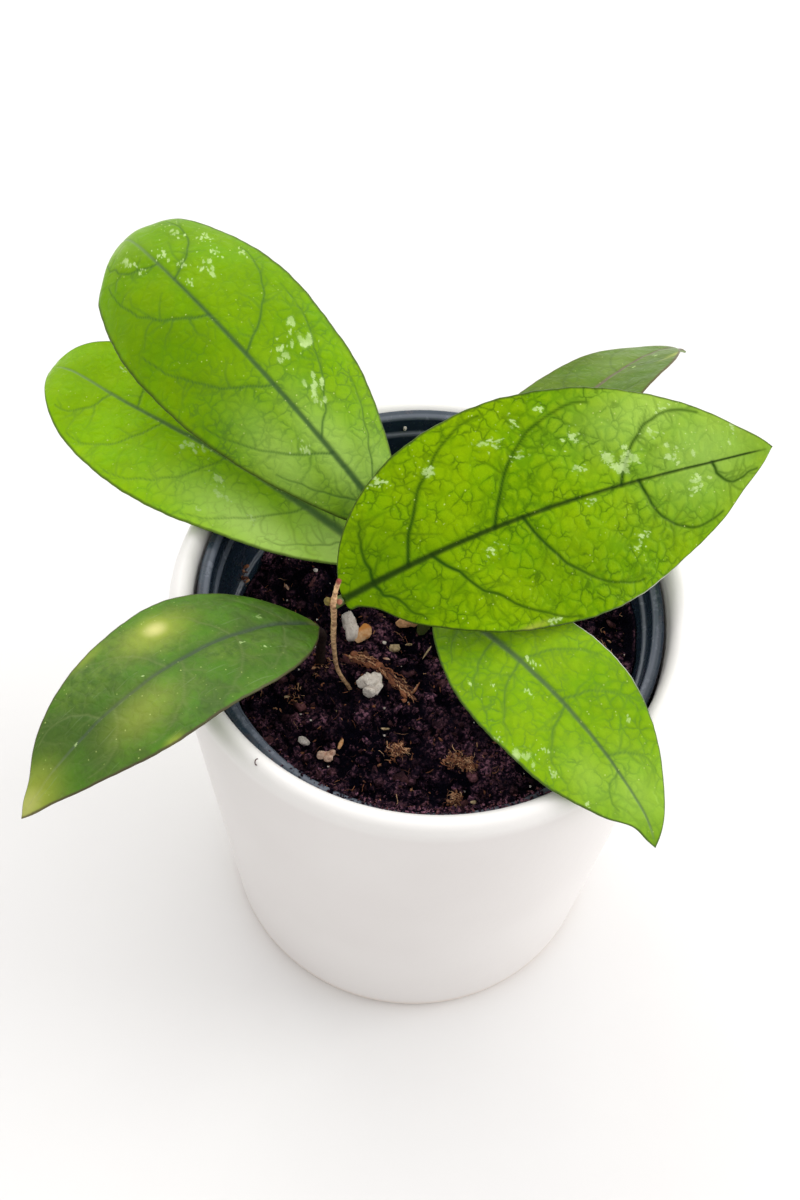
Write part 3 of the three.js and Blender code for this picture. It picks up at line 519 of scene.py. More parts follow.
class Finish:
    """A procedural material: each call adds one node and gives back its output."""

    def __init__(self, name, **sockets):
        self.material = bpy.data.materials.new(name)
        self.material.use_nodes = True
        self.tree = self.material.node_tree
        self.tree.nodes.clear()
        self.surface = self.tree.nodes.new("ShaderNodeBsdfPrincipled")
        self.node("OutputMaterial", [self.surface.outputs[0]])
        for socket, value in sockets.items():
            self.surface.inputs[socket.replace("_", " ")].default_value = value

    def node(self, kind, inputs=(), **settings):
        """The outputs of a new node. The inputs are a list, or a dictionary by name or number."""
        node = self.tree.nodes.new("ShaderNode" + kind)
        for setting, value in settings.items():
            setattr(node, setting, value)
        for socket, value in inputs.items() if isinstance(inputs, dict) else enumerate(inputs):
            self.put(node.inputs[socket], value)
        return node.outputs

    def put(self, socket, value):
        if isinstance(value, bpy.types.NodeSocket):
            self.tree.links.new(value, socket)
        elif isinstance(value, tuple) and len(value) == 3 and socket.type == "RGBA":
            socket.default_value = (*value, 1)
        else:
            socket.default_value = value

    def place(self):
        """Coordinates in millimetres."""
        return self.scaled(self.node("TexCoord")["Object"], (1 / MM, 1 / MM, 1 / MM))

    def stored(self, name, output="Fac"):
        return self.node("Attribute", attribute_name=name)[output]

    def math(self, operation, *values, clamp=False):
        return self.node("Math", values, operation=operation, use_clamp=clamp)[0]

    def plus(self, a, b):
        return self.math("ADD", a, b)

    def times(self, first, *others):
        for other in others:
            first = self.math("MULTIPLY", first, other)
        return first

    def scaled(self, vector, factors):
        return self.node("VectorMath", [vector, factors], operation="MULTIPLY")[0]

    def shifted(self, vector, amount, scale, seed=0.0):
        """The coordinates moved about by a soft noise."""
        inputs = {"Vector": vector, "Scale": scale, "W": seed}
        push = self.node("TexNoise", inputs, noise_dimensions="4D")["Color"]
        return self.node("VectorMath", [push, (amount, amount, amount), vector], operation="MULTIPLY_ADD")[0]

    def noise(self, vector, scale, detail=3.0, seed=0.0, rough=0.5):
        inputs = {"Vector": vector, "Scale": scale, "Detail": detail, "Roughness": rough, "W": seed}
        return self.node("TexNoise", inputs, noise_dimensions="4D")["Fac"]

    def cells(self, vector, scale, feature="DISTANCE_TO_EDGE", output="Distance"):
        return self.node("TexVoronoi", {"Vector": vector, "Scale": scale}, feature=feature)[output]

    def between(self, value, low, high, to_low=0.0, to_high=1.0):
        """The value moved smoothly from one range to another, and kept inside it."""
        return self.node("MapRange", [value, low, high, to_low, to_high], interpolation_type="SMOOTHSTEP")[0]

    def mix(self, share, a, b):
        return self.node("Mix", {0: share, 6: a, 7: b}, data_type="RGBA")[2]

    def coat(self, below, colour, *shares):
        """A colour laid over what is below, as strong as the product of the shares."""
        return self.mix(self.times(*shares), below, colour)

    def finish(self, colour, roughness, height, depth):
        """Joins the colour, the roughness and a relief whose full height is depth millimetres."""
        bump = self.node("Bump", {"Height": height, "Distance": depth * MM})[0]
        for socket, value in {"Base Color": colour, "Roughness": roughness, "Normal": bump}.items():
            self.put(self.surface.inputs[socket], value)
        return self.material


def leaf_finish(name, look, seed):
    """Glossy leaf skin: tissue, net veins, midrib, silvery flecks, yellow blushes and a dark margin."""
    f = Finish(name, Specular_IOR_Level=0.2, Specular_Tint=look["sheen"])
    light, deep = look["light"], look["deep"]
    flat = f.stored("blade", "Vector")
    vein, midrib, under, margin = map(f.stored, ("vein", "midrib", "under", "margin"))
    blush, fleck, bloom_and_sheen, net_share = map(f.stored, ("blush", "fleck", "bloom_and_sheen", "net"))

    # Tissue, lighter in the middle of each cell of the net: partly its own tone, partly painted light on the
    # bulging cells
    wide_edge = f.cells(f.shifted(f.shifted(flat, 2.6, 0.35, seed), 0.6, 1.7, seed + 1), 0.37)
    fine_edge = f.cells(f.shifted(flat, 0.9, 1.1, seed + 3), 0.85)
    wide_net = f.between(wide_edge, 0.0, 0.11, 1.0, 0.0)
    fine_net = f.between(fine_edge, 0.0, 0.13, 1.0, 0.0)
    mottled = f.noise(flat, 0.6, 3, seed + 9)
    grain = f.noise(flat, 1.5, 4, seed + 12, 0.6)
    vivid_share = f.between(f.noise(flat, 0.13, 4, seed + 14, 0.6), 0.42, 0.62)
    cell_middle = f.between(wide_edge, 0.05, 0.32)
    tissue = f.mix(f.between(f.noise(flat, 0.05, 2, seed + 5), 0.32, 0.6), deep, light)
    tissue = f.coat(tissue, deep, f.between(mottled, 0.35, 0.7), look["mottle"])
    tissue = f.coat(tissue, toned(light, (0.62, 0.98, 0.3)), vivid_share, look["mottle"])
    tissue = f.coat(tissue, deep, f.between(grain, 0.35, 0.65), 0.22)
    tissue = f.coat(tissue, deep, f.between(f.stored("halo"), 0.1, 1.0), 0.6)
    tissue = f.coat(tissue, toned(light, 1.1), cell_middle, look["net"], net_share)
    tissue = f.coat(tissue, toned(deep, 0.7), f.stored("shade"), 0.7)
    # Waxy bloom with painted sheen: a paler, brighter green, under which the net fades
    tissue = f.coat(tissue, (0.5, 0.74, 0.18), bloom_and_sheen, 0.5)

    # Veins
    broken = f.between(f.noise(flat, 0.3, 4, seed + 1), 0.36, 0.66, 0.15, 1.2)
    bloom_and_sheen_fade = f.between(bloom_and_sheen, 0.1, 0.9, 1.0, 0.45)
    net = f.math("MAXIMUM", wide_net, f.times(fine_net, 0.22))
    net = f.times(net, bloom_and_sheen_fade, broken, f.times(net_share, look["net"]))
    lines = f.math("MAXIMUM", net, f.times(vein, look["lines"]), clamp=True)
    colour = f.mix(lines, tissue, look["vein"])
    paling = f.times(f.stored("paling"), look["pale_midrib"])
    colour = f.coat(colour, f.mix(paling, look["midrib"], (0.22, 0.36, 0.11)), midrib, 0.96)

    # Yellow blushes with a cream core
    colour = f.coat(colour, (0.36, 0.42, 0.05), f.between(blush, 0.02, 0.9), 0.7)
    colour = f.coat(colour, (0.82, 0.76, 0.3), f.between(blush, 0.7, 1.5))

    # Silvery flecks and fine dust
    ragged = f.noise(f.scaled(flat, (1.0, 1.7, 1.0)), 1.8, 4, seed + 2, 0.65)
    speck = f.between(f.plus(fleck, f.times(ragged, 1.9)), 1.42, 1.58)
    silver = f.between(f.noise(flat, 0.5, 3, seed + 13), 0.35, 0.65, 0.32, 0.75)
    spotted = f.shifted(flat, 0.3, 2.0, seed + 4)
    dust = f.between(f.cells(spotted, 0.85, "F1"), 0.08, 0.18, 1.0, 0.0)
    dusty = f.between(f.cells(spotted, 0.85, "F1", "Color"), 0.62, 0.66)
    thick = f.between(f.noise(flat, 0.09, 2, seed + 7), 0.4, 0.62, 0.15, 1.0)
    colour = f.coat(colour, (0.42, 0.62, 0.2), f.between(fleck, 0.1, 0.8), 0.2)
    colour = f.coat(colour, (0.54, 0.72, 0.3), speck, silver)
    colour = f.coat(colour, (0.6, 0.7, 0.22), dust, dusty, 0.65, thick)

    scratch = f.noise(f.scaled(f.shifted(flat, 3.0, 0.06, seed + 8), (0.16, 2.6, 1.0)), 0.8, 2, seed + 6)
    colour = f.coat(colour, (0.25, 0.33, 0.16), f.between(scratch, 0.64, 0.7), look["scratches"])

    # Margin and underside
    rim = f.between(f.plus(margin, f.times(mottled, 0.4)), 0.35, look["rim"], 1.0, 0.0)
    below = f.coat(look["under"], deep, f.math("MAXIMUM", wide_net, vein), 0.35)
    colour = f.coat(colour, look["margin"], rim, 0.8)
    # Painted highlight: a pale line along parts of the margin
    colour = f.coat(colour, (0.6, 0.62, 0.5), f.stored("painted_glint"), f.between(margin, 0.2, 0.42, 1.0, 0.0))
    colour = f.mix(under, colour, below)
    relief = f.math("SUBTRACT", f.times(cell_middle, 0.6), f.times(lines, 0.5))
    relief = f.plus(relief, f.plus(f.times(mottled, 0.4), f.times(grain, 0.35)))
    return f.finish(colour, f.between(mottled, 0.3, 0.7, 0.33, 0.43), relief, 0.1)


def petiole_finish():
    f = Finish("petiole_skin")
    place = f.place()
    speck = f.between(f.noise(place, 1.8, 4, 3.0, 0.6), 0.52, 0.66)
    colour = f.mix(f.noise(place, 0.25, 3), (0.05, 0.09, 0.018), (0.12, 0.15, 0.035))
    colour = f.coat(colour, (0.12, 0.07, 0.035), speck, 0.6)
    return f.finish(colour, f.between(speck, 0, 1, 0.4, 0.7), f.noise(place, 2.2, 4), 0.15)


def bark_finish(name, light, dark, scale, tip=(0.0, 0.0, 0.0)):
    """Rough bark or skin, which takes on the tip's colour where the mesh's tint nears 1."""
    f = Finish(name, Specular_IOR_Level=0.25)
    place = f.place()
    grain = f.noise(place, scale, 5, 1.0, 0.65)
    pits = f.cells(place, 1.6 * scale, "F1")
    colour = f.mix(f.between(grain, 0.32, 0.68), dark, light)
    colour = f.coat(colour, tip, f.stored("tint"), f.between(grain, 0.2, 0.6, 0.6, 1.0))
    return f.finish(colour, 0.8, f.plus(f.times(grain, 0.7), f.times(pits, 0.4)), 0.3)


def perlite_finish():
    f = Finish("perlite_grain", Specular_IOR_Level=0.3)
    place = f.place()
    pores = f.cells(f.shifted(place, 0.5, 1.2), 1.9, "F1")
    soot = f.between(f.noise(place, 2.2, 4, 2.0, 0.65), 0.55, 0.64)
    colour = f.mix(f.between(pores, 0.05, 0.3), (0.97, 0.82, 0.72), (1.0, 0.91, 0.83))
    colour = f.coat(colour, (0.5, 0.38, 0.31), soot, 0.5)
    grain = f.noise(place, 3.0, 4, 5.0, 0.7)
    return f.finish(colour, 0.9, f.plus(f.times(pores, 0.6), grain), 0.3)


def soil_finish(name, light):
    """Moist peat: purple-brown grains, with painted shade that turns the hollows black. Each crumb has its
    own tint.
    """
    f = Finish(name, Specular_IOR_Level=0.1, Specular_Tint=(0.7, 0.6, 1, 1))
    place = f.place()
    grain = f.noise(place, 0.9, 6, 0.0, 0.7)
    fine = f.noise(place, 4.0, 4, 4.0, 0.6)
    loose = f.shifted(place, 0.3, 2.0)
    pellet = f.cells(loose, 1.9, "F1")
    pellet_tone = f.between(f.cells(loose, 1.9, "F1", "Color"), 0.5, 0.72)
    region = f.between(f.noise(place, 0.12, 3, 12.0), 0.4, 0.6, 0.2, 1.3)
    colour = f.mix(f.between(grain, 0.4, 0.62), (0.003, 0.002, 0.007), (0.055, 0.025, 0.048))
    colour = f.coat(colour, (0.34, 0.15, 0.21), pellet_tone, f.between(grain, 0.35, 0.55))
    colour = f.coat(colour, light, f.between(fine, 0.6, 0.74), 0.5)
    colour = f.coat(colour, light, f.between(f.stored("tint"), 0.68, 0.95), 0.9)
    # Painted shade: black in the hollows and in the painted shadow under the lower right leaf, varied in
    # broad patches
    colour = f.mix(f.times(f.stored("raised"), region), (0.0012, 0.0009, 0.004), colour)
    height = f.math("SUBTRACT", f.times(fine, 0.7), pellet)
    return f.finish(colour, f.between(fine, 0.3, 0.7, 0.9, 0.5), height, 0.45)


def fibre_finish():
    f = Finish("soil_fibre", Specular_IOR_Level=0.35)
    tint = f.stored("tint")
    grain = f.noise(f.place(), 2.5, 4, 6.0)
    colour = f.mix(f.between(tint, 0.0, 0.5), (0.06, 0.018, 0.016), (0.4, 0.15, 0.07))
    colour = f.coat(colour, (0.98, 0.6, 0.34), f.between(tint, 0.45, 1.0))
    colour = f.coat(colour, (0.05, 0.02, 0.015), f.between(grain, 0.45, 0.7), 0.5)
    return f.finish(colour, 0.75, grain, 0.1)


def glaze_finish():
    """Ivory glaze, with an unglazed foot, painted light that makes it lighter towards the lip, and a faint
    orange-peel surface.
    """
    f = Finish("ivory_glaze", Coat_Weight=0.2, Coat_Roughness=0.2, Specular_IOR_Level=0.45)
    place = f.place()
    height = f.node("SeparateXYZ", [place])[2]
    waves = f.noise(place, 0.02, 2)
    speckle = f.between(f.noise(place, 1.1, 5, 8.0, 0.6), 0.7, 0.78)
    foot = f.between(f.plus(height, f.times(f.noise(place, 0.3, 3), 0.8)), 1.6, 5.5, 1, 0)
    colour = f.mix(f.between(waves, 0.35, 0.65), (0.775, 0.738, 0.72), (0.81, 0.778, 0.76))
    colour = f.coat(colour, (0.45, 0.38, 0.3), speckle, 0.06)
    # Painted light: the glaze turns lighter towards the lip
    colour = f.coat(colour, (0.87, 0.85, 0.83), f.between(height, COVER_HEIGHT - 6, COVER_HEIGHT - 1.5))
    colour = f.coat(colour, (0.7, 0.58, 0.49), foot, 0.7)
    roughness = f.plus(f.between(waves, 0.3, 0.7, 0.3, 0.4), f.times(foot, 0.4))
    return f.finish(colour, roughness, f.noise(place, 0.35, 3), 0.05)


def plastic_finish():
    """Thin blue-black plastic: turning marks, scuffs, dust with painted highlights at the rim and the ledges,
    and smears of soil low down.
    """
    f = Finish("nursery_plastic", Specular_IOR_Level=0.5)
    place = f.place()
    down = f.stored("down")
    rings = f.noise(f.scaled(place, (0.02, 0.02, 1.6)), 1.2, 3, 2.0)
    scuffs = f.between(f.noise(f.scaled(place, (0.5, 0.5, 2.5)), 0.5, 5, 5.0, 0.7), 0.55, 0.72)
    dust = f.between(f.noise(place, 0.35, 5, 7.0, 0.65), 0.45, 0.75)
    dust_strength = f.between(dust, 0, 1, 0.45, 0.9)
    inner_edge = f.between(f.stored("across"), RIM_DUST_AND_HIGHLIGHT_RADIUS - 0.3, RIM_DUST_AND_HIGHLIGHT_RADIUS + 0.3, 1.0, 0.1)
    colour = f.mix(f.times(scuffs, 0.22), (0.017, 0.034, 0.056), (0.085, 0.12, 0.155))
    colour = f.coat(colour, (0.17, 0.18, 0.19), dust, 0.05)
    # Dust and painted highlight: pale blue-grey bands at the rim and the two ledges, inside the rim's inner
    # edge
    for depth in (0.0, NURSERY_UPPER_LEDGE_DEPTH + 0.3, NURSERY_LOWER_LEDGE_DEPTH + 0.2):
        ledge_dust_and_highlight = f.between(f.math("ABSOLUTE", f.math("SUBTRACT", down, depth)), 0.25, 0.8, 1.0, 0.0)
        colour = f.coat(colour, (0.19, 0.21, 0.26), ledge_dust_and_highlight, inner_edge, dust_strength)
    low_or_outer = f.math("MAXIMUM", f.between(down, 9, 20), f.between(inner_edge, 0.1, 1.0, 0.7, 0.0))
    smear = f.times(f.between(f.noise(place, 0.22, 5, 9.0, 0.7), 0.5, 0.7), low_or_outer)
    colour = f.coat(colour, (0.07, 0.03, 0.022), smear, 0.75)
    roughness = f.plus(f.between(dust, 0, 1, 0.22, 0.45), f.times(smear, 0.3))
    return f.finish(colour, roughness, f.plus(rings, f.times(scuffs, 0.3)), 0.05)


def floor_finish():
    f = Finish("pale_table")
    place = f.place()
    clouds = f.noise(f.shifted(place, 40, 0.006), 0.008, 5)
    colour = f.mix(f.between(clouds, 0.3, 0.7), (0.8, 0.79, 0.79), (0.83, 0.825, 0.82))
    return f.finish(colour, 0.5, f.noise(place, 0.05, 3), 0.1)


# The nursery pot's own frame has its origin at its rim's centre, and leans to the front and to the right
LEAN_RIGHT, LEAN_FRONT = math.radians(NURSERY_LEAN_RIGHT), math.radians(NURSERY_LEAN_FRONT)
LEAN = Vector((math.tan(LEAN_RIGHT), -math.tan(LEAN_FRONT), 1)).normalized()
NURSERY_TURN = np.array(Vector((0, 0, 1)).rotation_difference(LEAN).to_matrix())
NURSERY_EDGE_DROP = NURSERY_FLOOR_RADIUS * math.sqrt(1 - LEAN.z ** 2)
NURSERY_HEIGHT = (NURSERY_RIM_CENTRE[2] - COVER_FLOOR_THICKNESS - GAP - NURSERY_EDGE_DROP) / LEAN.z
# Its inside, as radius and depth below the rim
NURSERY_INSIDE = [
    (NURSERY_THROAT_RADIUS + NURSERY_THROAT_FLARE, NURSERY_RIM_ROUND),
    (NURSERY_THROAT_RADIUS, NURSERY_UPPER_LEDGE_DEPTH),
    (NURSERY_THROAT_RADIUS - NURSERY_LEDGE_WIDTH, NURSERY_UPPER_LEDGE_DEPTH + NURSERY_LEDGE_FALL),
    (NURSERY_LEDGE_RADIUS, NURSERY_LOWER_LEDGE_DEPTH),
    (NURSERY_LEDGE_RADIUS - NURSERY_LEDGE_WIDTH, NURSERY_LOWER_LEDGE_DEPTH + NURSERY_LEDGE_FALL),
    (NURSERY_FLOOR_RADIUS - NURSERY_WALL, NURSERY_HEIGHT - NURSERY_WALL),
]


def leaned(points):
    """Points of the nursery pot's own frame in the plant's frame."""
    return np.asarray(points) @ NURSERY_TURN.T + np.array(NURSERY_RIM_CENTRE)


def unleaned(points):
    """Points of the plant's frame in the nursery pot's own frame."""
    return (np.asarray(points) - np.array(NURSERY_RIM_CENTRE)) @ NURSERY_TURN


def inside_radius(depth):
    radii, depths = np.array(NURSERY_INSIDE).T
    return np.interp(depth, depths, radii)


def soil_depth(x, y):
    depth = SOIL_DEPTH - SOIL_RISE_TO_RIGHT * x
    for height, per_x, per_y, phase in SOIL_WAVES:
        depth = depth - height * np.sin(per_x * x + per_y * y + phase)
    return depth


def on_soil(x, y, above=0.0):
    """The smooth soil's top at a place seen from above, or a point above it, in the plant's frame."""
    local_x, local_y = x, y - NURSERY_RIM_CENTRE[1]
    for _ in range(6):
        point = leaned((local_x, local_y, -soil_depth(local_x, local_y)))
        local_x += x - point[0]
        local_y += y - point[1]
    return point + (0, 0, above)


def build_cover_pot():
    foot, floor = COVER_FOOT_FILLET, COVER_FLOOR_THICKNESS
    wall_top = COVER_HEIGHT - COVER_LIP_DROP
    lip_radius = (COVER_RIM_RADIUS - COVER_MOUTH_RADIUS) / 2
    profile = [(0, 0)]
    profile.extend((radius, 0) for radius in np.linspace(8, COVER_BASE_RADIUS - foot, 6)[:-1])
    for angle in np.radians(np.linspace(0, 90, 9)):
        profile.append((COVER_BASE_RADIUS - foot * (1 - math.sin(angle)), foot * (1 - math.cos(angle))))
    profile.extend(np.linspace((COVER_BASE_RADIUS, foot), (COVER_RIM_RADIUS, wall_top), 24)[1:-1])
    for angle in np.radians(np.linspace(0, 180, 25)):
        lip = COVER_MOUTH_RADIUS + lip_radius * (1 + math.cos(angle))
        profile.append((lip, wall_top + COVER_LIP_DROP * math.sin(angle)))
    profile.extend(np.linspace((COVER_MOUTH_RADIUS, wall_top), (COVER_FLOOR_RADIUS, floor + 1), 16)[1:])
    profile.extend([(COVER_FLOOR_RADIUS - 0.3, floor + 0.3), (COVER_FLOOR_RADIUS - 1, floor)])
    profile.extend([(COVER_FLOOR_RADIUS / 2, floor), (0, floor)])
    points, faces = turned(profile, COVER_SEGMENTS)
    make_object("cover_pot_glazed", points, faces, "white_glaze", glaze_finish(), "cover_pot")


def drill_holes(piece):
    """Cuts the drain holes through the nursery pot's floor."""
    drills = Gathered()
    for angle in turns(DRAIN_COUNT):
        x, y = DRAIN_CIRCLE_RADIUS * math.cos(angle), DRAIN_CIRCLE_RADIUS * math.sin(angle)
        ends = [(x, y, NURSERY_WALL * side - NURSERY_HEIGHT) for side in (-2, 2)]
        drills.add(*tube(ends, DRAIN_RADIUS, DRAIN_SIDES))
    mesh = bpy.data.meshes.new("drills")
    mesh.from_pydata((leaned(np.vstack(drills.points)) * MM).tolist(), [], drills.faces)
    drill = bpy.data.objects.new("drills", mesh)
    bpy.context.scene.collection.objects.link(drill)
    cut = piece.modifiers.new("drain_holes", "BOOLEAN")
    cut.operation = "DIFFERENCE"
    cut.solver = "EXACT"
    cut.object = drill
    whole = piece.data
    piece.data = bpy.data.meshes.new_from_object(piece.evaluated_get(bpy.context.evaluated_depsgraph_get()))
    piece.modifiers.clear()
    bpy.data.objects.remove(drill)
    bpy.data.meshes.remove(mesh)
    bpy.data.meshes.remove(whole)


def build_nursery_pot():
    rim, skirt, wall = NURSERY_RIM_RADIUS, NURSERY_SKIRT_WALL, NURSERY_WALL
    corners = [(0, -NURSERY_HEIGHT), (NURSERY_FLOOR_RADIUS, -NURSERY_HEIGHT)]
    corners.extend((radius + wall, -depth - wall) for radius, depth in NURSERY_INSIDE[-2:0:-1])
    corners.extend([
        (NURSERY_THROAT_RADIUS + wall, -NURSERY_RIM_THICKNESS),
        (rim - skirt, -NURSERY_RIM_THICKNESS),
        (rim - skirt - NURSERY_SKIRT_DRAFT, -NURSERY_SKIRT_DEPTH),
        (rim - NURSERY_SKIRT_DRAFT, -NURSERY_SKIRT_DEPTH),
        (rim, 0),
        (NURSERY_THROAT_RADIUS + NURSERY_THROAT_FLARE, 0),
    ])
    corners.extend((radius, -depth) for radius, depth in NURSERY_INSIDE[1:])
    corners.append((0, wall - NURSERY_HEIGHT))
    points, faces = turned(rounded(corners, NURSERY_FILLET), NURSERY_SEGMENTS)
    finish = plastic_finish()
    piece = make_object("nursery_pot_moulded", leaned(points), faces, "dark_plastic", finish, "nursery_pot")
    drill_holes(piece)
    points = unleaned(np.array([vertex.co for vertex in piece.data.vertices]) / MM)
    add_numbers(piece, down=-points[:, 2], across=np.hypot(points[:, 0], points[:, 1]))


def heaps(places, seed, size):
    """Height from 0 to 1 of round crumbs that lie about size apart over the places."""
    rng = np.random.default_rng(seed)
    count = int(math.pi * SOIL_SPREAD ** 2 / size ** 2 * 1.3)
    tree = KDTree(count)
    for index, (x, y) in enumerate(rng.uniform(-SOIL_SPREAD, SOIL_SPREAD, (count, 2))):
        tree.insert((x, y, 0), index)
    tree.balance()
    tops = rng.uniform(0.4, 1, count)
    heights = np.zeros(len(places))
    for index, (x, y) in enumerate(places):
        _, nearest, distance = tree.find((x, y, 0))
        heights[index] = tops[nearest] * max(0.0, 1 - (distance / size) ** 2)
    return heights


def soil_relief(x, y):
    """How far the rough soil stands above its smooth top: clods and pits, flattened under the larger bits."""
    places = np.stack([x.ravel(), y.ravel()], 1)
    relief = np.array([
        1.7 * noise.turbulence((u * 0.24, v * 0.24, 3), 3, True) + 0.75 * noise.turbulence((u, v, 8), 3, True)
        for u, v in places
    ])
    for seed, height, size in SOIL_HEAPS:
        relief += height * heaps(places, seed, size)
    relief = relief.reshape(x.shape) - RELIEF_SINK
    covers = [(bit["at"], bit["radii"][0] + 1.5) for bit in CRUMBS.values()]
    covers.extend((place, 2.6) for place in smooth_route(BARK_ROUTE, 12))
    bare = np.zeros(x.shape)
    for (cover_x, cover_y), reach in covers:
        distance = np.hypot(x - cover_x, y - cover_y + NURSERY_RIM_CENTRE[1] + 1.5)
        bare = np.maximum(bare, np.exp(-(distance / reach) ** 4))
    return relief * (1 - bare) + np.minimum(relief, -0.5) * bare


def raised_share(points):
    """Painted light share: from 0 in the soil's hollows, left black by painted shade, to 1 on its clods, and
    lower in the painted shadow under the lower right leaf.
    """
    x, y, height = unleaned(points).T
    leaf_shadow = 0.65 * np.exp(-(np.hypot(x - LEAF_SHADOW_PLACE[0], y - LEAF_SHADOW_PLACE[1]) / LEAF_SHADOW_SPREAD) ** 2)
    return smoothstep(HOLLOW_HEIGHT, CLOD_HEIGHT, height + soil_depth(x, y)) * (1 - leaf_shadow)


def build_soil():
    turn = turns(SOIL_SEGMENTS)
    cos, sin = np.cos(turn), np.sin(turn)
    edge = np.full(SOIL_SEGMENTS, NURSERY_LEDGE_RADIUS)
    for _ in range(5):
        edge = inside_radius(soil_depth(edge * cos, edge * sin)) - SOIL_CLEARANCE
    share = np.linspace(0, 1, SOIL_RINGS + 1)[1:, None]
    x, y = share * edge * cos, share * edge * sin
    top = soil_relief(x, y) * smoothstep(1.0, 0.97, share) - soil_depth(x, y)
    rings = list(np.stack([x, y, top], -1))
    rim_depth = -top[-1]
    for depth in (np.maximum(rim_depth + 0.3, NURSERY_LOWER_LEDGE_DEPTH - 0.6),
                  np.maximum(rim_depth + 0.6, NURSERY_LOWER_LEDGE_DEPTH + 0.9),
                  np.full(SOIL_SEGMENTS, float(SOIL_FLOOR_DEPTH))):
        radius = np.minimum(inside_radius(depth), inside_radius(depth + SOIL_CLEARANCE)) - SOIL_CLEARANCE
        rings.append(ring(radius, turn, -depth))
    points = leaned(np.vstack([*rings, (0, 0, -soil_depth(0, 0)), (0, 0, -SOIL_FLOOR_DEPTH)]))
    faces = [(face[0], *face[:0:-1]) for face in ring_faces(len(rings), SOIL_SEGMENTS)]
    tint = np.random.default_rng(5).uniform(0, 0.5, len(points))
    finish = soil_finish("soil_peat", (0.11, 0.045, 0.06))
    make_object("soil_bed", points, faces, "soil", finish, "soil", tint=tint, raised=raised_share(points))


def lump(rng, radii, level, roughness):
    """A rough closed stone shape: a ball of 20 or 80 faces, or more, pushed in and out."""
    mesh = bpy.data.meshes.get(f"ball_{level}")
    if mesh is None:
        made = bmesh.new()
        bmesh.ops.create_icosphere(made, subdivisions=level, radius=1)
        mesh = bpy.data.meshes.new(f"ball_{level}")
        made.to_mesh(mesh)
        made.free()
    unit = np.array([vertex.co for vertex in mesh.vertices])
    faces = [tuple(polygon.vertices) for polygon in mesh.polygons]
    push = np.zeros(len(unit))
    for octave in range(3):
        waves = rng.normal(0, 2.2 * 1.8 ** octave, (4, 3))
        phases = rng.uniform(0, 6.28, 4)
        push += np.sin(unit @ waves.T + phases).sum(1) * roughness / (4 * 1.5 ** octave)
    return unit * (1 + push)[:, None] * np.array(radii), faces


def chunk(rng, radii, level, cuts, roughness=0.1, pitted=0.13):
    """A broken lump: a ball cut by random planes, with a rough and pitted skin."""
    unit, faces = lump(rng, (1, 1, 1), level, roughness)
    length = np.linalg.norm(unit, axis=1)
    direction = unit / length[:, None]
    reach = length.copy()
    normals = rng.normal(size=(cuts, 3))
    normals /= np.linalg.norm(normals, axis=1)[:, None]
    for normal, distance in zip(normals, rng.uniform(0.54, 0.86, cuts)):
        facing = direction @ normal
        plane = np.where(facing > 0.2, distance / np.maximum(facing, 0.2), 9)
        reach = np.minimum(reach, plane * (0.88 + 0.12 * length))
    offset = Vector(rng.uniform(0, 50, 3))
    grain = direction * radii[0]
    grain = np.array([noise.turbulence(Vector(place) * 2.4 + offset, 4, True) for place in grain])
    return direction * (reach * (1 + 0.6 * pitted - pitted * grain))[:, None] * np.array(radii), faces


def tumbled(rng, points, place):
    """The points turned at random about their own middle, and moved to the place."""
    axis = rng.normal(size=3)
    turn = Matrix.Rotation(rng.uniform(0, 6.28), 3, Vector(axis / np.linalg.norm(axis)))
    return points @ np.array(turn).T + place


def scattered(rng, count):
    """Random places on the rough soil, as points of the plant's frame."""
    angle = rng.uniform(0, 2 * np.pi, count)
    reach = SCATTER_RADIUS * np.sqrt(rng.uniform(0, 1, count))
    x, y = reach * np.cos(angle), reach * np.sin(angle)
    reach = np.minimum(reach, inside_radius(soil_depth(x, y)) - 1.2)
    x, y = reach * np.cos(angle), reach * np.sin(angle)
    return leaned(np.stack([x, y, -soil_depth(x, y) + soil_relief(x, y)], -1))


def spilt(rng, count):
    """Random places on the front of the nursery pot's rim, where some soil has spilt."""
    angle = np.radians(rng.normal(*SPILT_ANGLE, count))
    reach = rng.uniform(NURSERY_THROAT_RADIUS - 0.4, NURSERY_RIM_RADIUS - 0.9, count)
    return leaned(ring(reach, angle, rng.uniform(0, 0.2, count)))


def build_soil_crumbs():
    rng = np.random.default_rng(21)
    for name, count, low, high, level in SOIL_GRAINS:
        places = scattered(rng, count)
        if name == "soil_crumbs":
            places = np.vstack([places, spilt(rng, SPILT_CRUMBS)])
        grains = Gathered()
        for place in places:
            longest = low + (high - low) * rng.uniform() ** 2
            size = longest * np.array([1, rng.uniform(0.45, 0.9), rng.uniform(0.35, 0.8)])
            points, faces = lump(rng, size, level, 0.6)
            points = tumbled(rng, points, place + (0, 0, 0.1 * longest))
            # Painted shade from where the grain lies, mixed with a random tone of its own
            grains.add(points, faces, tint=rng.uniform(0, 1),
                       raised=np.clip(raised_share(points) * 0.6 + rng.uniform(0.25, 1) * 0.5, 0, 1))
        finish = soil_finish(name + "_peat", (0.22, 0.088, 0.09))
        grains.make(name, "soil", finish, smooth=name == "soil_clods")


